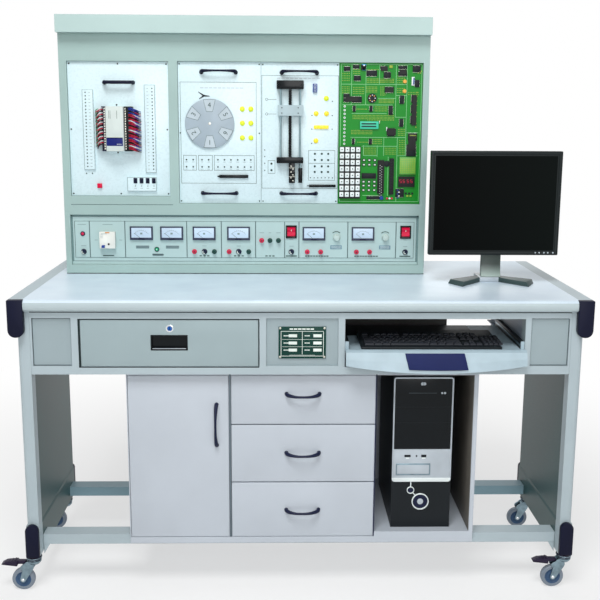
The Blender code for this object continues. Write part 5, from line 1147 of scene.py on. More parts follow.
for face in part.faces:
    spot = face.calc_center_median() - DATUM
    if face.normal.y < -0.9 and MOUTH_Z[0] < spot.z < MOUTH_Z[1] and min(abs(spot.x - x)
            for x in TOGGLE_X) < 0.002:
        mouths.append(face)
for face in push(part, mouths, (0, 0.0072, 0)):
    face.material_index = 1
piece("switch_box", part, "desk", [board_white, black_abs])
print("slots in the switch box:", len(mouths))

bm = bmesh.new()
STRIP_FACE, BOX_FACE = 0.4522, 0.4502
stamp(bm, socket_shape(0.0021), [at(-0.657, STRIP_FACE, 1.4205 - 0.0102 * n) for n in range(23)]
      + [at(-0.4535, STRIP_FACE, 1.4335 - 0.0102 * n) for n in range(25)]
      + [at(x, BOARD_FACE, 1.1745) for x in (-0.6625, -0.6443)])
lines(bm, [[(-0.6475, 1.4205 - 0.0102 * n), (-0.6425, 1.4205 - 0.0102 * n)] for n in range(23)]
      + [[(-0.47, 1.4335 - 0.0102 * n), (-0.4655, 1.4335 - 0.0102 * n)] for n in range(25)]
      + [frame_run((-0.6664, -0.6346), (1.1866, 1.4284)), frame_run((-0.4769, -0.4461), (1.1781, 1.4439))],
      STRIP_FACE, 0.0008)
lines(bm, [frame_run((-0.535, -0.446), (1.121, 1.163))], BOX_FACE, 0.0009)
stamp(bm, socket_shape(0.0014), [at(x, BOX_FACE, 1.1365) for x in TOGGLE_X])
lines(bm, [bar(x, 1.1295, 0.0038) for x in TOGGLE_X], BOX_FACE, 0.0008)
piece("controller_board_sockets", bm, "desk", [ink, black_abs])

bm = bmesh.new()
for x in TOGGLE_X:
    for low, high in (((-0.0058, -0.0024), (-0.0088, 0.0078)), ((0.0024, 0.0058), (-0.0088, 0.0078)),
                      ((-0.0026, 0.0026), (-0.0088, -0.0068)), ((-0.0026, 0.0026), (0.004, 0.0078))):
        block(bm, (x + low[0], x + low[1]), (0.449, 0.4504), (1.1535 + high[0], 1.1535 + high[1]),
              soft=0.0004)
piece("toggle_collars", bm, "desk", [navy_gloss])
dress(navy_gloss, "toggle_1", "toggle_2", "toggle_3", "toggle_4")

bm = bmesh.new()
block(bm, (-0.6294, -0.615), (0.4496, 0.4582), (1.1295, 1.1439), soft=0.0014, segments=3)
block(bm, (-0.6272, -0.6172), (0.4488, 0.45), (1.1317, 1.1417), soft=0.0006)
piece("red_push_button", bm, "desk", [red_gloss])
print("controller board done")

# %% [markdown]
# The controller clips to the middle of its board, with a terminal strip down either side. Fans of
# thin wires leave the terminals and go through the board beside them. Each wire is a tube along a
# few places, and a little noise sways the rows so that no two lie alike.

# %% Controller unit and its wires
unit_abs = moulded("ABS, pale grey, grained", 0xCFDAD6, 0.5)
label_navy = moulded("printed label, navy blue", 0x17236E, 0.4, depth=0)
bm = bmesh.new()
block(bm, (-0.59, -0.5365), (0.4079, 0.4579), (1.244, 1.379), soft=0.002, segments=3)
panels(bm, 0.4235, ((-0.605, -0.5902, 0, 0.0344, 1.2442, 1.3788, 0.001, 7),
                    (-0.5363, -0.512, 0, 0.0344, 1.2442, 1.3788, 0.001, 1)))
for n in range(17):
    z = 1.3715 - n * 0.0075
    for x, paint in ((-0.602, 3), (-0.596, 2), (-0.533, 2), (-0.5265, 3), (-0.5195, 3)):
        block(bm, about(x, 0.002), (0.4226, 0.424), about(z, 0.0024), soft=0.0003, paint=paint)
panels(bm, 0.4073, ((-0.5887, -0.539, 0.0001, 0.0017, 1.2605, 1.2857, 0.0006, 4),
                    (-0.5887, -0.539, 0, 0.0012, 1.2832, 1.2857, 0.0004, 3),
                    (-0.58, -0.579, 0.0004, 0.0009, 1.342, 1.366, 0, 5),
                    (-0.576, -0.575, 0.0004, 0.0009, 1.342, 1.366, 0, 5),
                    (-0.556, -0.5548, 0.0004, 0.0009, 1.342, 1.366, 0, 5)))
for n in range(6):
    block(bm, (-0.557 + n * 0.0026, -0.556 + n * 0.0026), (0.4072, 0.4078), (1.264, 1.2672), paint=6)
for z in (1.239, 1.3836):
    turned(bm, at(-0.5632, 0.4582, z), [(0, 0), (0.0026, 0), (0.0024, 0.0012), (0, 0.0018)], 3, 16)
piece("controller_unit_shell", bm, "desk", [unit_abs, black_abs, nickel, black_gloss, label_navy, ink,
                                            pale_ink, navy_gloss], ["plc_unit"])

bm = bmesh.new()
ROWS, RIGHT_HAND = 27, (2, 2, 0, 2, 1, 1, 0, 1, 3, 1, 1, 0, 1, 1, 3, 1, 0, 1, 1, 2, 1, 1, 0, 1, 3, 1, 1)
for n in range(ROWS):
    z = 1.3735 - n * 0.0047
    sway = noise.noise(Vector((n * 0.9, 0.3, 0))) * 0.002
    if n < ROWS - 3:
        tube(bm, [at(-0.601, 0.424, z), at(-0.6065, 0.417 + sway, z + 0.0005), at(-0.614, 0.418, z - 0.0045),
                  at(-0.621, 0.433 + sway, z - 0.0125), at(-0.6235 + sway, 0.459, z - 0.0145)], 0.0014,
             (3, 1, 0)[n % 3], around=2)
        tube(bm, [at(-0.603, 0.424, z), at(-0.61, 0.4215, z - 0.001), at(-0.6235, 0.426, z - 0.006),
                  at(-0.6285, 0.459, z - 0.009)], 0.0013, (4, 1, 4, 0)[n % 4], around=2)
    tube(bm, [at(-0.5225, 0.424, z), at(-0.515, 0.4165 - sway, z + 0.0005), at(-0.506, 0.418, z - 0.004),
              at(-0.499, 0.432 + sway, z - 0.0085), at(-0.497 - sway, 0.459, z - 0.01)], 0.0014,
         RIGHT_HAND[n], around=2)
    tube(bm, [at(-0.5195, 0.424, z), at(-0.513, 0.421, z - 0.0005), at(-0.501, 0.423 - sway, z - 0.0045),
              at(-0.4915, 0.436, z - 0.01), at(-0.4905 + sway, 0.459, z - 0.011)], 0.0012,
         (2, 0, 1, 2, 3)[n % 5], around=2)
piece("controller_wires", bm, "desk", wire_colours)
print("rows of wires:", ROWS)

# %% [markdown]
# The tool board shows a round magazine with six numbered pockets. The disc is a lathe shape; the
# pockets are printed frames around lighter inlays, each drawn once at the top and turned to its
# place. The numbers are text turned into a mesh before it is placed.

# %% Tool board
WORK_Z, ARCHED = (1.0835, 1.5145), ((1.4856, 0.0022), (1.115, 0))
board_shell("tool_board_shell", "tool_magazine_board", (-0.3745, -0.1205), WORK_Z, "tool_magazine_board",
            [(-0.3025, -0.1975, *level) for level in ARCHED])
board_shell("positioning_board_shell", "positioning_board", (-0.1195, 0.1195), WORK_Z, "positioning_board",
            [(-0.0565, 0.0515, *level) for level in ARCHED])
disc_grey = moulded("anodised aluminium, painted grey blue", 0xA4B4BF, 0.38, depth=0.1)
pocket_grey = moulded("anodised aluminium, light inlay", 0xB9C7CF, 0.36, depth=0.1)


def figure(bm, text, place, tall, turn=0, paint=0):
    """One printed figure that faces forward, centred on a place."""
    words = bpy.data.curves.new("figure", "FONT")
    words.body, words.size, words.extrude = text, tall * 1.4, 0.0001
    words.align_x, words.align_y, words.resolution_u = "CENTER", "CENTER", 3
    holder = bpy.data.objects.new("figure", words)
    mesh = bpy.data.meshes.new_from_object(holder)
    bpy.data.objects.remove(holder)
    part = bmesh.new()
    part.from_mesh(mesh)
    bpy.data.meshes.remove(mesh)
    bpy.data.curves.remove(words)
    bmesh.ops.remove_doubles(part, verts=part.verts, dist=1e-6)
    take(bm, part, paint, Matrix.Translation(place) @ Matrix.Rotation(turn, 4, "Y") @ FORWARD)


DISC_X, DISC_Z, DISC_FACE, POCKETS = -0.2785, 1.3285, 0.4502, (270, 210, 150, 90, 30, 330)
bm = bmesh.new()
turned(bm, at(DISC_X, DISC_FACE, DISC_Z), [(0, 0), (0.074, 0), (0.0758, 0.001), (0.076, 0.003),
                                           (0.076, 0.0058), (0.012, 0.0058), (0.012, 0.0076), (0, 0.0076)],
       steps=96, axis=(0, 1, 0))
turned(bm, at(DISC_X, DISC_FACE, DISC_Z),
       [(0, -0.0002), (0.0042, -0.0002), (0.0038, 0.0014), (0, 0.0018)], 1, 24)
for number, angle in enumerate(POCKETS, start=1):
    lean = -radians(angle - 90)
    spin = Matrix.Translation(at(DISC_X, 0, DISC_Z)) @ Matrix.Rotation(lean, 4, "Y")
    inlay = cube((0.019, 0.0004, 0.036))
    bmesh.ops.scale(inlay, vec=(1.95, 1, 1), verts=[vert for vert in inlay.verts if vert.co.z > 0])
    bmesh.ops.translate(inlay, vec=(0, DISC_FACE, 0.0545), verts=inlay.verts)
    take(bm, inlay, 2, spin)
    rim = bmesh.new()
    corners = ((-0.0095, 0.0365), (0.0095, 0.0365), (0.0185, 0.0725), (-0.0185, 0.0725), (-0.0095, 0.0365))
    for start, end in zip(corners, corners[1:]):
        run = Vector((end[0] - start[0], 0, end[1] - start[1]))
        take(rim, cube((run.length, 0.0007, 0.0008)), 0,
             Matrix.Translation(((start[0] + end[0]) / 2, DISC_FACE - 0.0001, (start[1] + end[1]) / 2))
             @ Matrix.Rotation(-atan2(run.z, run.x), 4, "Y"))
    take(bm, rim, 3, spin)
    far = Vector((cos(radians(angle)), 0, sin(radians(angle)))) * 0.056
    figure(bm, str(number), at(DISC_X, DISC_FACE - 0.0003, DISC_Z) + far, 0.015, lean, 3)
piece("numbered_disc", bm, "tool_disc", [disc_grey, nickel, pocket_grey, ink], ["tool_disc"])

TOOL_X, TOOL_Z = (-0.3521, -0.3313, -0.3039, -0.2831, -0.2545, -0.2343, -0.2141, -0.1929, -0.1718,
                  -0.1522), (1.2182, 1.1962)
bm = bmesh.new()
stamp(bm, socket_shape(0.0026), grid(TOOL_X, TOOL_Z))
lines(bm, [frame_run((-0.368, -0.135), (1.1456, 1.4536)), frame_run((-0.3608, -0.3216), (1.1857, 1.2315)),
           frame_run((-0.3145, -0.2716), (1.1857, 1.2315)), frame_run((-0.2657, -0.1416), (1.1857, 1.2315))],
      BOARD_FACE, 0.0011)
lines(bm, [bar(x, z - 0.007, 0.0035) for x in TOOL_X for z in TOOL_Z], BOARD_FACE, 0.0007)
lines(bm, dashes(-0.3055, 1.4365, 0.008, 0.0135, 10), BOARD_FACE, 0.0028, paint=3)
for tip in ((-0.2781, 1.4117, 0.001), (-0.3126, 1.4244, 0.0008), (-0.3101, 1.4033, 0.0008)):
    rod(bm, at(-0.2955, BOARD_FACE - 0.0004, 1.4129), at(tip[0], BOARD_FACE - 0.0004, tip[1]), 0.0026, 1,
        12, tip=tip[2])
rod(bm, at(-0.25, 0.453, 1.1673), at(-0.16, 0.453, 1.1673), 0.005, 2, soft=0.0012)
rod(bm, at(-0.256, 0.453, 1.1673), at(-0.249, 0.453, 1.1673), 0.0016, 2, 12, tip=0.003)
for x in (-0.233, -0.177):
    block(bm, about(x, 0.003), (0.4535, BOARD_FACE), (1.164, 1.1706), soft=0.0006, paint=2)
stamp(bm, screw_shape(0.0022), grid((-0.3695, -0.1255), (1.0905, 1.5075, 1.3)))
piece("tool_board_print", bm, "tool_magazine_board", [ink, black_abs, black_gloss, pocket_grey])
bm = bmesh.new()
stamp(bm, lamp_shape(0.008), grid((-0.178, -0.1515), (1.3736, 1.3306, 1.286)))
piece("tool_board_lamps", bm, "tool_magazine_board", [lime_lens])
print("tool board done")

# %% [markdown]
# The positioning board carries a small linear stage. Black end blocks hold two steel rods and a
# threaded screw, which drives the carriage. The thread is a helix: a small bead of a section is
# spun up along the screw's axis while it turns, one turn at a time.

# %% Positioning board
guide_steel = metal("ground steel rod, oiled", 0x7F959B, 0.34, grain_mm=0.8, along=(1, 1, 0.2))
stage_grey = moulded("ABS, pale grey, satin", 0xA9BEC4, 0.42, depth=0.2)
bm = bmesh.new()
for x in (-0.0595, 0):
    rod(bm, at(x, 0.4419, 1.2275), at(x, 0.4419, 1.4345), 0.003, 1, 20)
for z in ((1.434, 1.46), (1.21, 1.228)):
    block(bm, (-0.072, 0.0105), (0.4299, 0.4579), z, soft=0.002, segments=3)
for x in (-0.066, 0.0045):
    for z in (1.447, 1.219):
        turned(bm, at(x, 0.4299, z), [(0, -0.0008), (0.003, -0.0008), (0.003, 0), (0.0018, 0),
                                      (0, -0.0003)], 1, 16)
block(bm, (-0.034, -0.015), (0.432, 0.4579), (1.149, 1.2105), soft=0.0015, paint=0)
for n, z in enumerate((1.156, 1.165, 1.174, 1.183, 1.192, 1.201)):
    block(bm, (-0.023 - 0.006 * (n % 2), -0.0195 - 0.006 * (n % 2)), (0.4314, 0.4325), about(z, 0.0018),
          soft=0.0005, paint=2)
    block(bm, (-0.0335, -0.0155), (0.4316, 0.4325), (z + 0.0034, z + 0.0042), paint=2 if n % 3 == 1 else 0)
rod(bm, at(0.002, 0.444, 1.149), at(0.002, 0.444, 1.195), 0.0065, 0, 24, soft=0.0012)
rod(bm, at(0.002, 0.444, 1.194), at(0.002, 0.444, 1.2105), 0.003, 1, 16)
piece("guide_frame_shell", bm, "positioning_board", [black_gloss, guide_steel, nickel],
      ["guide_frame"])

SCREW_AT, SCREW_Z, LEAD = (-0.0305, 0.4419), (1.2284, 1.4336), 0.0051
bm = bmesh.new()
rod(bm, at(*SCREW_AT, 1.2226), at(*SCREW_AT, 1.4394), 0.0024, 1, 16)
rod(bm, at(*SCREW_AT, SCREW_Z[0]), at(*SCREW_AT, SCREW_Z[1]), 0.0044, 0, 24)
part = bmesh.new()
corners = [part.verts.new(spot) for spot in ((0.004, 0, -0.0015), (0.0054, 0, -0.0005), (0.0054, 0, 0.0005),
        (0.004, 0, 0.0015))]
bead = [part.edges.new((corners[n], corners[(n + 1) % 4])) for n in range(4)]
turns = int((SCREW_Z[1] - SCREW_Z[0] - 0.004) / LEAD)
bmesh.ops.spin(part, geom=corners + bead, cent=(0, 0, 0), axis=(0, 0, 1), dvec=(0, 0, LEAD / 16),
               angle=2 * pi * turns, steps=16 * turns, use_merge=False)
loose = [edge for edge in part.edges if edge.is_boundary]
bmesh.ops.holes_fill(part, edges=loose, sides=4)
bmesh.ops.recalc_face_normals(part, faces=part.faces)
take(bm, part, 0, Matrix.Translation(at(*SCREW_AT, SCREW_Z[0] + 0.0025)))
piece("threaded_screw", bm, "lead_screw", [black_gloss, machined_steel], ["lead_screw"])
print("thread turns:", turns)

bm = bmesh.new()
stamp(bm, screw_shape(0.0018), grid((-0.006, -0.056), (1.362, 1.378), 0.4299))
piece("carriage_screws", bm, "carriage", [black_abs])
dress(stage_grey, "carriage")

FIELD_X, FIELD_Z = (0.0473, 0.0689, 0.0889), (1.2381, 1.2191, 1.1995, 1.182)
bm = bmesh.new()
stamp(bm, socket_shape(0.0034, 16), grid(FIELD_X, FIELD_Z) + grid((-0.088,), (1.207, 1.187)))
stamp(bm, socket_shape(0.0018), [at(0.034 + 0.0115 * n, BOARD_FACE, 1.164) for n in range(7)]
      + grid((-0.109,), (1.249, 1.229, 1.208, 1.186))
      + grid((0.037,), (1.3555, 1.314, 1.27)) + grid((0.1,), (1.3985, 1.3555, 1.314))
      )
lines(bm, [frame_run((-0.1175, 0.118), (1.131, 1.475)), frame_run((0.0276, 0.1095), (1.1561, 1.2487)),
           [(0.0276, 1.209), (0.1095, 1.209)], frame_run((-0.0986, -0.077), (1.1769, 1.2167)),
           [(-0.099, 1.403), (-0.073, 1.403)], [(-0.099, 1.359), (-0.073, 1.359)]], BOARD_FACE, 0.001)
for z in (1.403, 1.359):
    turned(bm, at(-0.103, BOARD_FACE, z), [(0.003, 0), (0.004, 0), (0.004, 0.0003), (0.003, 0.0003),
                                           (0.003, 0)], steps=20)
rod(bm, at(0.03, 0.454, 1.139), at(0.113, 0.454, 1.139), 0.0042, 2, 20, soft=0.001)
rod(bm, at(0.0225, 0.454, 1.139), at(0.0305, 0.454, 1.139), 0.0012, 2, 10)
for x in (0.045, 0.098):
    block(bm, about(x, 0.003), (0.4545, BOARD_FACE), (1.136, 1.142), soft=0.0006, paint=2)
stamp(bm, screw_shape(0.0022), grid((-0.1145, 0.1145), (1.0905, 1.5075)))
lines(bm, dashes(-0.07, 1.467, 0.008, 0.0135, 10), BOARD_FACE, 0.0024, paint=3)
piece("positioning_board_print", bm, "positioning_board", [ink, black_abs, black_gloss, pocket_grey])

bm = bmesh.new()
stamp(bm, lamp_shape(0.0078), [at(0.081, BOARD_FACE, 1.407)])
for x, z in ((0.05, 1.361), (0.082, 1.361), (0.05, 1.278)):
    turned(bm, at(x, BOARD_FACE, z), [(0, 0), (0.0078, 0), (0.0078, 0.001), (0.0069, 0.0032), (0.003, 0.006),
                                      (0, 0.0064)], 1, 24)
for x, wide in ((0.05, 0.007), (0.082, 0.007), (0.066, 0.012)):
    block(bm, about(x, wide), (0.4528, BOARD_FACE), (1.3145, 1.3255), soft=0.002, paint=1)
block(bm, (0.039, 0.0525), (0.45, BOARD_FACE), (1.425, 1.451), soft=0.001, paint=2)
for z in (1.4315, 1.444):
    for x0, x1, z0, z1 in ((0.0425, 0.049, 0.0044, 0.0052), (0.0425, 0.049, -0.0052, -0.0044),
                           (0.0425, 0.049, -0.0004, 0.0004), (0.0422, 0.043, -0.005, 0.005),
                           (0.0485, 0.0493, -0.005, 0.005)):
        block(bm, (x0, x1), (0.4496, 0.4502), (z + z0, z + z1), paint=3)
piece("positioning_board_lamps", bm, "positioning_board", [lime_lens, yellow_lens, blue_lens, pale_ink])
print("positioning board done")

# %% [markdown]
# The microcontroller board is a circuit board full of parts. Its places come from the photo and
# are written in millimetres, to the right of and down from the board's upper left corner. A table
# lists the chips; each chip is a small block with a row of pins down two sides. Pads, pins and
# keys come in rows, so a few loops lay them out.

# %% Microcontroller board
solder_green = enamel_board("solder mask, green", 0x0B8420, 0x080C0D, 0.4577, 0.34, wave_mm=2)
solder_green.node_tree.nodes["Principled BSDF"].inputs["Specular IOR Level"].default_value = 0.2
dress(solder_green, "microcontroller_board")
silk_white = moulded("silkscreen ink, pale green", 0x93D69C, 0.6, depth=0)
pad_gold = moulded("solder pads, yellow green", 0x93A92A, 0.4, depth=0)
zif_green = moulded("PBT, teal", 0x35C9A2, 0.35, depth=0.1)
chip_grey = moulded("epoxy, dark grey", 0x1A2223, 0.5, depth=0.1)
cyan_abs = moulded("ABS, light blue", 0x1E93C4, 0.35, depth=0.1)
orange_ceramic = moulded("ceramic disc, orange", 0xE7A63E, 0.4, depth=0.1)
matrix_green = moulded("lens, pale green", 0x5FA83F, 0.35, depth=0.1)
CORNER = (0.1205, 1.5145)
# right, down, width, height, stands out, paint
CHIPS = ((23, 18, 20, 13, 3.5, 1), (51, 12, 20, 11, 3.5, 1), (55, 46, 22, 15, 3.5, 1), (99, 31, 33, 17, 4, 1),
         (134, 14, 18, 9, 3.5, 1), (147, 36, 22, 18, 4.5, 1), (194, 13, 27, 9, 4, 1), (194, 32, 27, 13, 4, 6),
         (237, 17, 24, 19, 4.5, 1), (240, 61, 14, 22, 4.5, 1), (154, 80, 28, 17, 4.5, 1),
         (23, 99, 20, 12, 3, 6), (23, 112, 20, 11, 3.5, 1), (55, 110, 30, 18, 4, 6), (194, 110, 14, 26, 3, 6),
         (47, 138, 9, 19, 3.5, 1), (99, 138, 10, 19, 3.5, 1), (160, 142, 13, 28, 4, 1),
         (231, 107, 16, 24, 4, 1), (230, 138, 15, 25, 4, 1), (229, 171, 15, 26, 4, 1),
         (194, 180, 13, 25, 3, 6), (163, 209, 23, 25, 4.5, 1), (46, 238, 8, 19, 3.5, 1),
         (99, 238, 10, 19, 3.5, 1), (230, 223, 28, 23, 4, 1), (227, 264, 30, 36, 3.5, 6),
         (194, 397, 27, 26, 4, 6), (112, 412, 44, 10, 3, 6))
TRACKS = ([(38, 4), (38, 126)], [(82, 4), (82, 126)], [(123.5, 4), (123.5, 64)], [(175, 4), (175, 163)],
          [(209, 4), (209, 281)], [(141, 225), (141, 281)], [(121, 250), (121, 284)],
          [(183, 225), (183, 424)], [(78, 250), (78, 281)], [(5.5, 64), (209, 64)], [(121, 106), (175, 106)],
          [(175, 97), (209, 97)], [(11, 126), (165, 126)], [(40, 152), (147, 152)], [(175, 163), (209, 163)],
          [(38, 225), (209, 225)], [(73, 252), (183, 252)], [(78, 281), (121, 281)], [(183, 281), (247, 281)],
          [(209, 210), (247, 210)], [(5.5, 4), (254, 4), (254, 424), (5.5, 424), (5.5, 4)],
          [(78, 405), (130, 405)], [(156, 285), (156, 405)])
# first right, last right, first down, last down, step right, step down
PADS = ((90, 172, 172, 172, 5, 9), (44, 170, 158, 168, 4.2, 5), (40, 104, 204, 218, 4.2, 5),
        (86, 170, 48, 58, 4.5, 5), (124, 168, 110, 121, 4, 4.5), (80, 118, 258, 276, 4.5, 6),
        (146, 180, 258, 276, 4.5, 6), (44, 76, 74, 92, 4.5, 6), (10, 34, 32, 58, 5, 7),
        (180, 204, 38, 60, 5, 7), (180, 204, 76, 92, 5, 6), (10, 34, 72, 90, 5, 6),
        (186, 204, 200, 218, 4.5, 6), (52, 86, 139, 139, 4.2, 5), (112, 148, 132, 146, 4.5, 6),
        (60, 92, 240, 240, 4.5, 6), (106, 136, 232, 246, 4.5, 6), (88, 120, 20, 22, 4.5, 6),
        (128, 168, 52, 58, 4.2, 5), (190, 206, 234, 276, 5, 6), (214, 244, 88, 94, 5, 6),
        (44, 62, 20, 34, 4.5, 6), (84, 118, 72, 88, 4.5, 5), (128, 144, 72, 98, 4.5, 6))


def spot(right, down, face=BOARD_FACE):
    """A place on the board from millimetres right of and down from its upper left corner."""
    return at(CORNER[0] + right * MM, face, CORNER[1] - down * MM)


def raised(bm, right, down, wide, tall, face, out, soft=0.3, paint=0):
    """A block on the board, centred on a place, that stands out from a face."""
    x, z = CORNER[0] + right * MM, CORNER[1] - down * MM
    block(bm, (x - wide / 2 * MM, x + wide / 2 * MM), (face - out * MM, face),
          (z - tall / 2 * MM, z + tall / 2 * MM), soft=soft * MM, paint=paint)


bm = bmesh.new()
for run in TRACKS:
    lines(bm, [[(CORNER[0] + right * MM, CORNER[1] - down * MM) for right, down in run]], BOARD_FACE,
          0.0011, paint=0)
pad = cube((0.0019, 0.0008, 0.0024))
spots = []
for low, high, top, bottom, across, down in PADS:
    spots += [spot(low + n * across, top + m * down) for n in range(int((high - low) / across) + 1)
              for m in range(int((bottom - top) / down) + 1)]
take_pads = bmesh.new()
stamp(take_pads, pad, spots)
take(bm, take_pads, 1)
print("pads:", len(spots))
piece("circuit_print", bm, "desk", [silk_white, pad_gold], smooth=False)

bm = bmesh.new()
pin = cube((0.0007, 0.0014, 0.0014))
pins = []
for right, down, wide, tall, out, paint in CHIPS:
    raised(bm, right, down, wide, tall, BOARD_FACE, out, 0.5, paint)
    if wide > tall:
        pins += [spot(right - wide / 2 + 1.5 + 2.54 * n, down + side * (tall / 2 + 0.4), BOARD_FACE - 0.0006)
                 for side in (-1, 1) for n in range(int((wide - 1.5) / 2.54))]
    else:
        pins += [spot(right + side * (wide / 2 + 0.3), down - tall / 2 + 1.5 + 2.54 * n, BOARD_FACE - 0.0006)
                 for side in (-1, 1) for n in range(int((tall - 1.5) / 2.54))]
legs = bmesh.new()
stamp(legs, pin, pins)
take(bm, legs, 2)
turned(bm, spot(102, 106), [(0, 0), (0.014, 0), (0.0145, 0.001), (0.014, 0.004), (0.005, 0.0046),
                            (0, 0.0046)], 1, 24)
for n in range(8):
    turned(bm, spot(102 + 8.8 * cos(n * pi / 4), 106 + 9.4 * sin(n * pi / 4), BOARD_FACE - 0.0042),
           [(0, 0), (0.0018, 0), (0.0016, 0.0008), (0, 0.001)], 5 if n % 2 else 3, 10)
for down in (55, 84):
    turned(bm, spot(202, down), [(0, 0), (0.006, 0), (0.0062, 0.0012), (0.005, 0.0036), (0, 0.0042)], 5, 20)
stamp(bm, small([(0.0014, 0), (0.0034, 0), (0.0032, 0.0008), (0.0016, 0.0008), (0.0014, 0)], 3, 14,
                (([(0, 0), (0.0016, 0), (0, 0.0002)], 1),)), [spot(17.8, 131 + 11.4 * n) for n in range(11)])
stamp(bm, small([(0, 0), (0.0022, 0), (0.002, 0.0014), (0, 0.0018)], 4, 12),
      [spot(240, down) for down in (88, 99, 114, 127, 148, 161, 182, 193)]
      + [spot(252 - n * 3.2, 24 + 5 * (n % 2)) for n in range(5)])
# right, down, width, height, forward of the face, stands out, softness, paint
FITTINGS = ((75, 13, 13, 19, 0, 5, 0.8, 7), (75, 8, 5, 4, 0, 5.4, 0.3, 3), (158, 11, 10, 8, 0, 3, 0.5, 4),
            (227, 54, 9, 26, 0, 5, 0.6, 3), (229, 54, 4, 20, 0, 5.6, 0.3, 8), (149, 199, 3, 12, 0, 3, 0.3, 3),
            (163, 206, 10, 8, 4.5, 0.4, 0.1, 3))
for *place, forward, out, soft, paint in FITTINGS:
    raised(bm, *place, BOARD_FACE - forward * MM, out, soft, paint)
for n in range(3):
    raised(bm, 231, 218 + 4 * n, 20, 2, BOARD_FACE - 0.004, 0.3, 0.1, 4)
piece("circuit_chips", bm, "desk", [ink, black_abs, nickel, white_keys, pad_gold, orange_ceramic, chip_grey,
                                    cyan_abs, blue_lens])

bm = bmesh.new()
KEYPAD_FACE, CHIP_FACE = 0.4482, 0.4532
for right in (10.5, 27.4, 44.2, 60.8):
    for n in range(8):
        raised(bm, right, 262.5 + n * 19.8, 12.6, 14.8, KEYPAD_FACE, 2.4, 0.9, 0)
        raised(bm, right, 262.5 + n * 19.8, 3.4, 3.4, KEYPAD_FACE - 0.0024, 0.2, 0, 1)
piece("circuit_keypad", bm, "desk", [white_keys, ink])

bm = bmesh.new()
raised(bm, 94.3, 187.7, 57, 22.8, CHIP_FACE, 0.8, 0.4, 0)
for down in (183.5, 191.5):
    raised(bm, 93, down, 46, 4.5, CHIP_FACE - 0.0008, 0.3, 0.1, 1)
for n in range(18):
    for down in (183.5, 191.5):
        raised(bm, 72.5 + n * 2.4, down, 1, 3, CHIP_FACE - 0.0011, 0.2, 0, 2)
raised(bm, 125.6, 178, 2, 9, CHIP_FACE, 2.2, 0.4, 5)
raised(bm, 216.7, 312, 51, 53, CHIP_FACE, 0.4, 0.3, 4)
for n in range(8):
    for m in range(8):
        turned(bm, spot(195.6 + n * 6, 292.5 + m * 5.6, CHIP_FACE - 0.0004),
               [(0, 0), (0.0019, 0), (0, 0.0007)], 3, 8)
for right in (196, 206, 219, 230):
    for x, z, wide, tall in ((0, -4.5, 6, 1), (0, 0, 6, 1), (0, 4.5, 6, 1), (-3, -2.2, 1, 4), (3, 2.2, 1, 4)):
        raised(bm, right + x, 360 + z, wide, tall, CHIP_FACE, 0.3, 0, 6)
for n in range(26):
    raised(bm, 133.4, 311 + n * 4, 12, 2.2, CHIP_FACE, 0.8, 0.3, 2)
    raised(bm, 133.4 + (2.5 if n % 2 else -2.5), 311 + n * 4, 2.4, 1.4, CHIP_FACE - 0.0008, 0.3, 0, 7)
for n in range(14):
    raised(bm, 167, 295 + n * 8, 9, 5.6, CHIP_FACE, 0.9, 0.4, 2)
for row, (down, paint) in enumerate(((295, 7), (309, 7), (362, 7), (374, 7), (388, 7))):
    for right in (80, 97, 114):
        raised(bm, right, down, 9.5, 7.5, BOARD_FACE, 3.2, 0.6, 2)
        raised(bm, right, down, 5.6, 4, BOARD_FACE - 0.0032, 1, 0.4, paint)
raised(bm, 96, 343, 42, 14, CHIP_FACE, 0.8, 0.4, 2)
turned(bm, spot(137, 412.5, CHIP_FACE), [(0, 0), (0.0062, 0), (0.006, 0.0018), (0.005, 0.0024),
                                         (0, 0.0024)], 8, 20)
for right, paint in ((155, 9), (163, 7), (170, 9)):
    turned(bm, spot(right, 414), [(0, 0), (0.0032, 0), (0.003, 0.003), (0, 0.004)], paint, 14)
for n in range(5):
    raised(bm, 188 + 4 * (n % 2), 388 + 6 * n, 5, 3, BOARD_FACE - 0.004, 0.5, 0.1, 7 if n % 2 else 8)
    raised(bm, 214 + 5 * n, 398 + 8 * (n % 2), 6, 5, BOARD_FACE, 3, 0.4, 3 if n % 2 else 2)
turned(bm, spot(152, 306), [(0, 0), (0.0095, 0), (0.0095, 0.003), (0.007, 0.0038), (0, 0.0038)], 10, 24)
piece("circuit_parts", bm, "desk", [zif_green, dark_green_abs, black_abs, pad_gold, matrix_green, nickel,
                                    red_gloss, pale_ink, blue_lens, red_terminal, chip_grey])
print("microcontroller board done")

# %% [markdown]
# The power strip is a row of plates with dark gaps between them. Its meters have a printed card
# with a scale and a needle; the arc of a scale is a chain of short printed lines. Terminals, fuses,
# lamps and knobs are lathe shapes, because the real ones are turned or moulded round. The rockers
# keep their solids and get printed marks that lie on their sloped faces.

# %% Power strip
PLATE, METER_FACE = 0.4587, 0.4517
card_blue = moulded("printed card, pale blue", 0xC9DDF0, 0.35, depth=0)
label_grey = moulded("printed film, grey green", 0x7F979A, 0.5, depth=0)
label_blue = moulded("printed film, grey blue", 0x5F8698, 0.5, depth=0)
seam_grey = moulded("shadow gap between plates, dark grey", 0x4C5F61, 0.7, depth=0)
seam_green = moulded("shadow gap round the strip, grey green", 0x6E8C8C, 0.7, depth=0)
knob_grey = moulded("ABS, pale grey green", 0xB9CDC8, 0.35, depth=0.2)


def arc(centre, radius, start, end, parts):
    """Corners of an arc of a circle on the face, its angles in degrees."""
    angles = [radians(start + (end - start) * n / parts) for n in range(parts + 1)]
    return [(centre[0] + radius * cos(angle), centre[1] + radius * sin(angle)) for angle in angles]


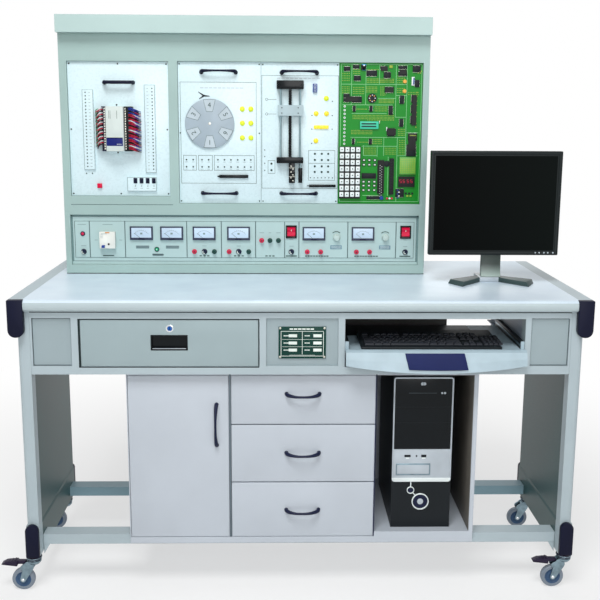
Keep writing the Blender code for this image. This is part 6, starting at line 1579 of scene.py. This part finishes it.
bm = bmesh.new()
for x in (-0.66, -0.549, -0.355, -0.246, -0.138, -0.046, -0.001, 0.154, 0.307):
    lines(bm, [[(x, 0.911), (x, 1.0255)]], PLATE, 0.0016)
lines(bm, [frame_run((-0.7062, 0.3637), (0.9108, 1.0254))], PLATE, 0.001)
lines(bm, [frame_run((-0.7125, 0.3715), (0.899, 1.04))], 0.4602, 0.0014)
lines(bm, [[(-0.716, 1.0435), (0.376, 1.0435)], [(-0.715, 0.9), (-0.715, 1.043)],
           [(0.3748, 0.9), (0.3748, 1.043)]], 0.46, 0.0046, paint=1)
lines(bm, [[(-0.712, 1.0785), (-0.396, 1.0785)]], 0.4499, 0.0014)
piece("power_seams", bm, "desk", [seam_grey, seam_green])
bm = bmesh.new()
shape = screw_shape(0.0032)
bmesh.ops.rotate(shape, verts=shape.verts, matrix=Matrix.Rotation(pi, 3, "Z"))
stamp(bm, shape, grid((-0.72, -0.446, -0.172, 0.102, 0.383), (0.874, 1.581), 0.7316)
      + grid((-0.72, 0.383), (1.11, 1.345), 0.7316))
piece("back_cover_screws", bm, "desk", [nickel])

bm = bmesh.new()
for left in (-0.533, -0.438, -0.336, -0.2276, 0.0104, 0.1656):
    block(bm, (left + 0.005, left + 0.067), (METER_FACE - 0.0004, METER_FACE), (0.9745, 1.0056),
          soft=0.0002, paint=0)
    pivot = (left + 0.036, 0.97)
    lines(bm, [arc(pivot, 0.027, 38, 142, 10)], METER_FACE - 0.0004, 0.0007, paint=1)
    for angle in range(38, 143, 13):
        lines(bm, [[arc(pivot, 0.027, angle, angle, 1)[0], arc(pivot, 0.03, angle, angle, 1)[0]]], METER_FACE
              - 0.0004, 0.0006, paint=1)
    lines(bm, [[arc(pivot, 0.006, 139, 139, 1)[0], arc(pivot, 0.0285, 139, 139, 1)[0]]], METER_FACE - 0.0006,
          0.0008, paint=2)
    block(bm, (left + 0.0325, left + 0.0395), (METER_FACE - 0.0006, METER_FACE - 0.0003),
          (0.985, 0.9905), paint=1)
    block(bm, (left + 0.026, left + 0.046), (METER_FACE - 0.001, METER_FACE), (0.9678, 0.9722),
          soft=0.0004, paint=3)
    turned(bm, at(left + 0.036, METER_FACE - 0.0008, 0.97),
           [(0, 0), (0.0018, 0), (0.0016, 0.0006), (0, 0.0008)], 3, 14)
piece("meter_cards", bm, "desk", [card_blue, label_grey, ink, navy_gloss])

bm = bmesh.new()
for x, z, wide, tall in ((-0.4953, 0.944, 0.0413, 0.01), (-0.4011, 0.944, 0.0413, 0.01),
                         (-0.447, 0.9195, 0.034, 0.008)):
    block(bm, about(x, wide / 2), (PLATE - 0.0006, PLATE), about(z, tall / 2), soft=0.0002, paint=0)
for x in (0.117, 0.272):
    block(bm, about(x, 0.018), (PLATE - 0.0008, PLATE), (0.9388, 0.951), soft=0.0003, paint=1)
    lines(bm, [bar(x, z, 0.015) for z in (0.942, 0.945, 0.948)], PLATE - 0.0008, 0.0008, paint=2)
    for n, (inner, outer) in enumerate(((0.0165, 0.019), (0.017, 0.019), (0.0175, 0.019))):
        lines(bm, [arc((x + 0.0005, 0.977), (inner + outer) / 2, 48 + 9 * n, 132 - 9 * n, 12)], PLATE
              - 0.0001 * n, outer - inner, paint=3)
for x, wide, z in ((-0.684, 0.025, 1.015), (-0.603, 0.03, 1.015), (-0.64, 0.008, 0.966),
                   (-0.563, 0.008, 0.966), (-0.68, 0.014, 0.9475), (-0.2998, 0.012, 0.948),
                   (-0.1913, 0.012, 0.948), (-0.0246, 0.012, 0.948), (0.3373, 0.012, 0.948),
                   (-0.0246, 0.01, 0.969), (0.3373, 0.01, 0.969), (-0.1187, 0.013, 0.9905),
                   (-0.0925, 0.006, 0.9905), (-0.0657, 0.013, 0.9905)):
    lines(bm, [bar(x, z, wide / 2)], PLATE, 0.0016, paint=0)
for x, count, pitch in ((-0.603, 5, 0.007), (-0.3, 3, 0.012), (-0.1913, 3, 0.012), (-0.0925, 3, 0.011),
                        (-0.0246, 5, 0.007), (0.056, 9, 0.0085), (0.213, 9, 0.0085), (0.3373, 5, 0.007)):
    for n in range(count):
        spot_x = x + (n - (count - 1) / 2) * pitch
        lines(bm, [bar(spot_x, 0.9165, 0.0017)], PLATE, 0.0036, paint=3)
for left in (-0.514, -0.4198):
    for z in (0.942, 0.9462):
        lines(bm, dashes(left, z, 0.0022, 0.0034, 12), PLATE - 0.0006, 0.0014, paint=4)
lines(bm, dashes(-0.463, 0.9195, 0.0018, 0.0028, 12), PLATE - 0.0006, 0.003, paint=4)
piece("power_labels", bm, "desk", [label_grey, label_blue, pale_ink, ink, seam_grey])

REDS = [(-0.3315, 0.93), (-0.222, 0.93), (0.0257, 0.93), (0.0684, 0.93), (0.182, 0.93), (0.224, 0.93),
        (-0.1187, 0.966)]
DARKS = [(-0.2685, 0.93), (-0.16, 0.93), (-0.0925, 0.966), (-0.0657, 0.966)]
FUSES = [(-0.2998, 0.93), (-0.1913, 0.93), (-0.0246, 0.93), (0.3373, 0.93), (-0.68, 0.929)]
bm = bmesh.new()
post = [(0, 0), (0.0072, 0), (0.0074, 0.0016), (0.0064, 0.0024), (0.0052, 0.0028), (0.0052, 0.006),
        (0.006, 0.0066), (0.006, 0.012), (0.0052, 0.0134), (0.0027, 0.0136), (0.0024, 0.011), (0, 0.0108)]
collar = [(0.005, 0.0004), (0.0078, 0.0004), (0.0078, 0.002), (0.005, 0.0022), (0.005, 0.0004)]
hole = [(0, 0.0109), (0.0024, 0.0109), (0, 0.0113)]
stamp(bm, small(post, 0, 18, ((collar, 1), (hole, 2))), [at(x, PLATE, z) for x, z in REDS])
stamp(bm, small(post, 3, 18, ((collar, 3), (hole, 2))), [at(x, PLATE, z) for x, z in DARKS])
for x, z in FUSES:
    turned(bm, at(x, PLATE, z), [(0, 0), (0.0088, 0), (0.0088, 0.0014), (0.0072, 0.0022), (0.007, 0.0078),
                                 (0.0058, 0.0092), (0, 0.0092)], 4, 24)
    for n in range(7):
        angle = radians(150 + n * 22)
        block(bm, about(x - 0.0004 + 0.0045 * cos(angle), 0.0012), (PLATE - 0.0096, PLATE - 0.009),
              about(z + 0.0045 * sin(angle), 0.0012), soft=0.0002, paint=5)
    block(bm, about(x, 0.0034), (PLATE - 0.0093, PLATE - 0.009), about(z, 0.0006), paint=2)
turned(bm, at(-0.6815, PLATE, 0.986),
       [(0, 0), (0.0075, 0), (0.0075, 0.002), (0.0058, 0.003), (0, 0.003)], 4, 24)
turned(bm, at(-0.6815, PLATE - 0.003, 0.986), [(0, 0), (0.0048, 0), (0.0044, 0.0022), (0.0026, 0.0036),
        (0, 0.004)], steps=20)
turned(bm, at(-0.45, PLATE, 0.937),
       [(0, 0), (0.0078, 0), (0.0078, 0.0016), (0.0062, 0.0026), (0, 0.0026)], 6, 24)
turned(bm, at(-0.45, PLATE - 0.0026, 0.937), [(0, 0), (0.005, 0), (0.0046, 0.0024), (0.0028, 0.004),
        (0, 0.0044)], 7, 20)
turned(bm, at(-0.45, PLATE - 0.0066, 0.937), [(0, 0), (0.0022, 0), (0, 0.0006)], 5, 12)
piece("power_terminals", bm, "desk", [red_terminal, red_gloss, ink, dark_green_abs, navy_gloss, pale_ink,
                                      dark_green_abs, green_lamp])

bm = bmesh.new()
for x in (-0.025, 0.3373):
    for low, high in (((-0.0172, -0.0126), (-0.0206, 0.0206)), ((0.0126, 0.0172), (-0.0206, 0.0206)),
                      ((-0.0172, 0.0172), (0.0162, 0.0206)), ((-0.0172, 0.0172), (-0.0206, -0.0162))):
        block(bm, (x + low[0], x + low[1]), (PLATE - 0.0042, PLATE), (0.9937 + high[0], 0.9937 + high[1]),
              soft=0.0008, paint=0)
piece("rocker_frames", bm, "desk", [black_gloss])
ROCKER_LEAN = -0.425  # how far the upper half of the rocker comes forward for each unit it goes up
# half width, low, high, how proud, paint
MARKS = ((0.007, 0.9998, 1.0014, 0.0002, 0), (0.0009, 0.9956, 1.0012, 0.0003, 1))
for name, x in (("mains_rocker", -0.025), ("supply_rocker", 0.3373)):
    bm = bmesh.new()
    for wide, low, high, proud, paint in MARKS:
        skin(bm, [at(x + side, 0.4557 + ROCKER_LEAN * (z - 0.9937) + sink, z) for z in (low, high)
                  for side in (-wide, wide) for sink in (-proud, 0.0006)], paint=paint)
    piece(name + "_marks", bm, name, [red_terminal, pale_ink])
dress(red_gloss, "mains_rocker", "supply_rocker")

for name, x in (("left_voltage_knob", 0.1185), ("right_voltage_knob", 0.2733)):
    bm = bmesh.new()
    turned(bm, at(x, PLATE - 0.0004, 0.976), [(0, 0), (0.0124, 0), (0.0124, 0.001), (0.0116, 0.0026),
            (0.01, 0.0032), (0.0094, 0.012), (0.0086, 0.0136), (0.006, 0.0139), (0, 0.0139)], steps=60)
    turned(bm, at(x, PLATE + 0.0099, 0.976), [(0, 0), (0.0029, 0), (0.0029, 0.0105), (0, 0.0105)], steps=20)
    for n in range(24):
        angle = 2 * pi * n / 24
        rod(bm, at(x + 0.0095 * cos(angle), PLATE - 0.0038, 0.976 + 0.0095 * sin(angle)),
            at(x + 0.0089 * cos(angle), PLATE - 0.0128, 0.976 + 0.0089 * sin(angle)), 0.0007, 0, 6)
    block(bm, about(x, 0.0006), (PLATE - 0.0142, PLATE - 0.0138), (0.979, 0.9842), paint=1)
    piece(name + "_cap", bm, name, [knob_grey, ink], [name])

bm = bmesh.new()
block(bm, (-0.6268, -0.5782), (0.4396, 0.4582), (0.9412, 0.9933), soft=0.0012, segments=3)
panels(bm, 0.44, ((-0.6262, -0.603, -0.0006, 0, 0.9425, 0.98, 0.0002, 0),
                  (-0.623, -0.6214, -0.0012, 0, 0.944, 0.9655, 0.0003, 0),
                  (-0.6078, -0.6062, -0.0012, 0, 0.944, 0.9655, 0.0003, 0),
                  (-0.6085, -0.5945, -0.0009, 0, 0.9898, 0.9931, 0.0003, 1),
                  (-0.6215, -0.603, -0.0009, 0, 0.987, 0.9885, 0.0002, 3),
                  (-0.624, -0.615, -0.0009, 0, 0.984, 0.9848, 0, 3),
                  (-0.624, -0.615, -0.0009, 0, 0.9795, 0.9803, 0, 3),
                  (-0.624, -0.615, -0.0009, 0, 0.975, 0.9758, 0, 3)))
turned(bm, at(-0.598, 0.4398, 0.9552), [(0, 0), (0.0034, 0), (0.003, 0.0014), (0, 0.0016)], 2, 16)
piece("breaker_shell", bm, "desk", [ivory_abs, orange_abs, black_gloss, label_grey], ["breaker_body"])
dress(blue_lens, "breaker_lever")
print("power strip done")

# %% [markdown]
# The green information plate is left bare: its printed fields are pale bars without words.

# %% Information plate
plate_green = moulded("anodised plate, dark green", 0x0E3B33, 0.35, depth=0.1)
PLATE_X, PLATE_Z, INFO_FACE = (-0.0655, 0.0655), (0.694, 0.7845), 0.021
bm = bmesh.new()
block(bm, PLATE_X, (INFO_FACE - 0.0008, INFO_FACE + 0.0002), PLATE_Z, soft=0.0003)
face = INFO_FACE - 0.0008
lines(bm, [frame_run((-0.0585, 0.0585), (0.701, 0.771)), [(0, 0.706), (0, 0.77)]], face, 0.0013, paint=1)
lines(bm, [[(-0.055, z), (0.055, z)] for z in (0.748, 0.7275)] + [[(-0.035, 0.7035), (0.035, 0.7035)]], face,
      0.0008, paint=1)
for row in (0.7585, 0.738, 0.718):
    for x in (-0.026, 0.042):
        block(bm, about(x, 0.0115), (face - 0.0003, face), about(row, 0.0042), soft=0.0001, paint=1)
    for x in (-0.05, 0.008):
        lines(bm, [[(x + n * 0.0042, row), (x + n * 0.0042 + 0.0026, row)] for n in range(3)], face,
              0.003, paint=1)
lines(bm, dashes(-0.033, 0.7775, 0.0055, 0.0115, 6), face, 0.004, paint=1)
for x in (-0.061, 0.061):
    for z in (0.6985, 0.78):
        turned(bm, at(x, face, z), [(0, 0), (0.0034, 0), (0.003, 0.0012), (0, 0.0018)], 2, 18)
piece("information_plate", bm, "desk", [plate_green, pale_ink, nickel])
print("information plate done")
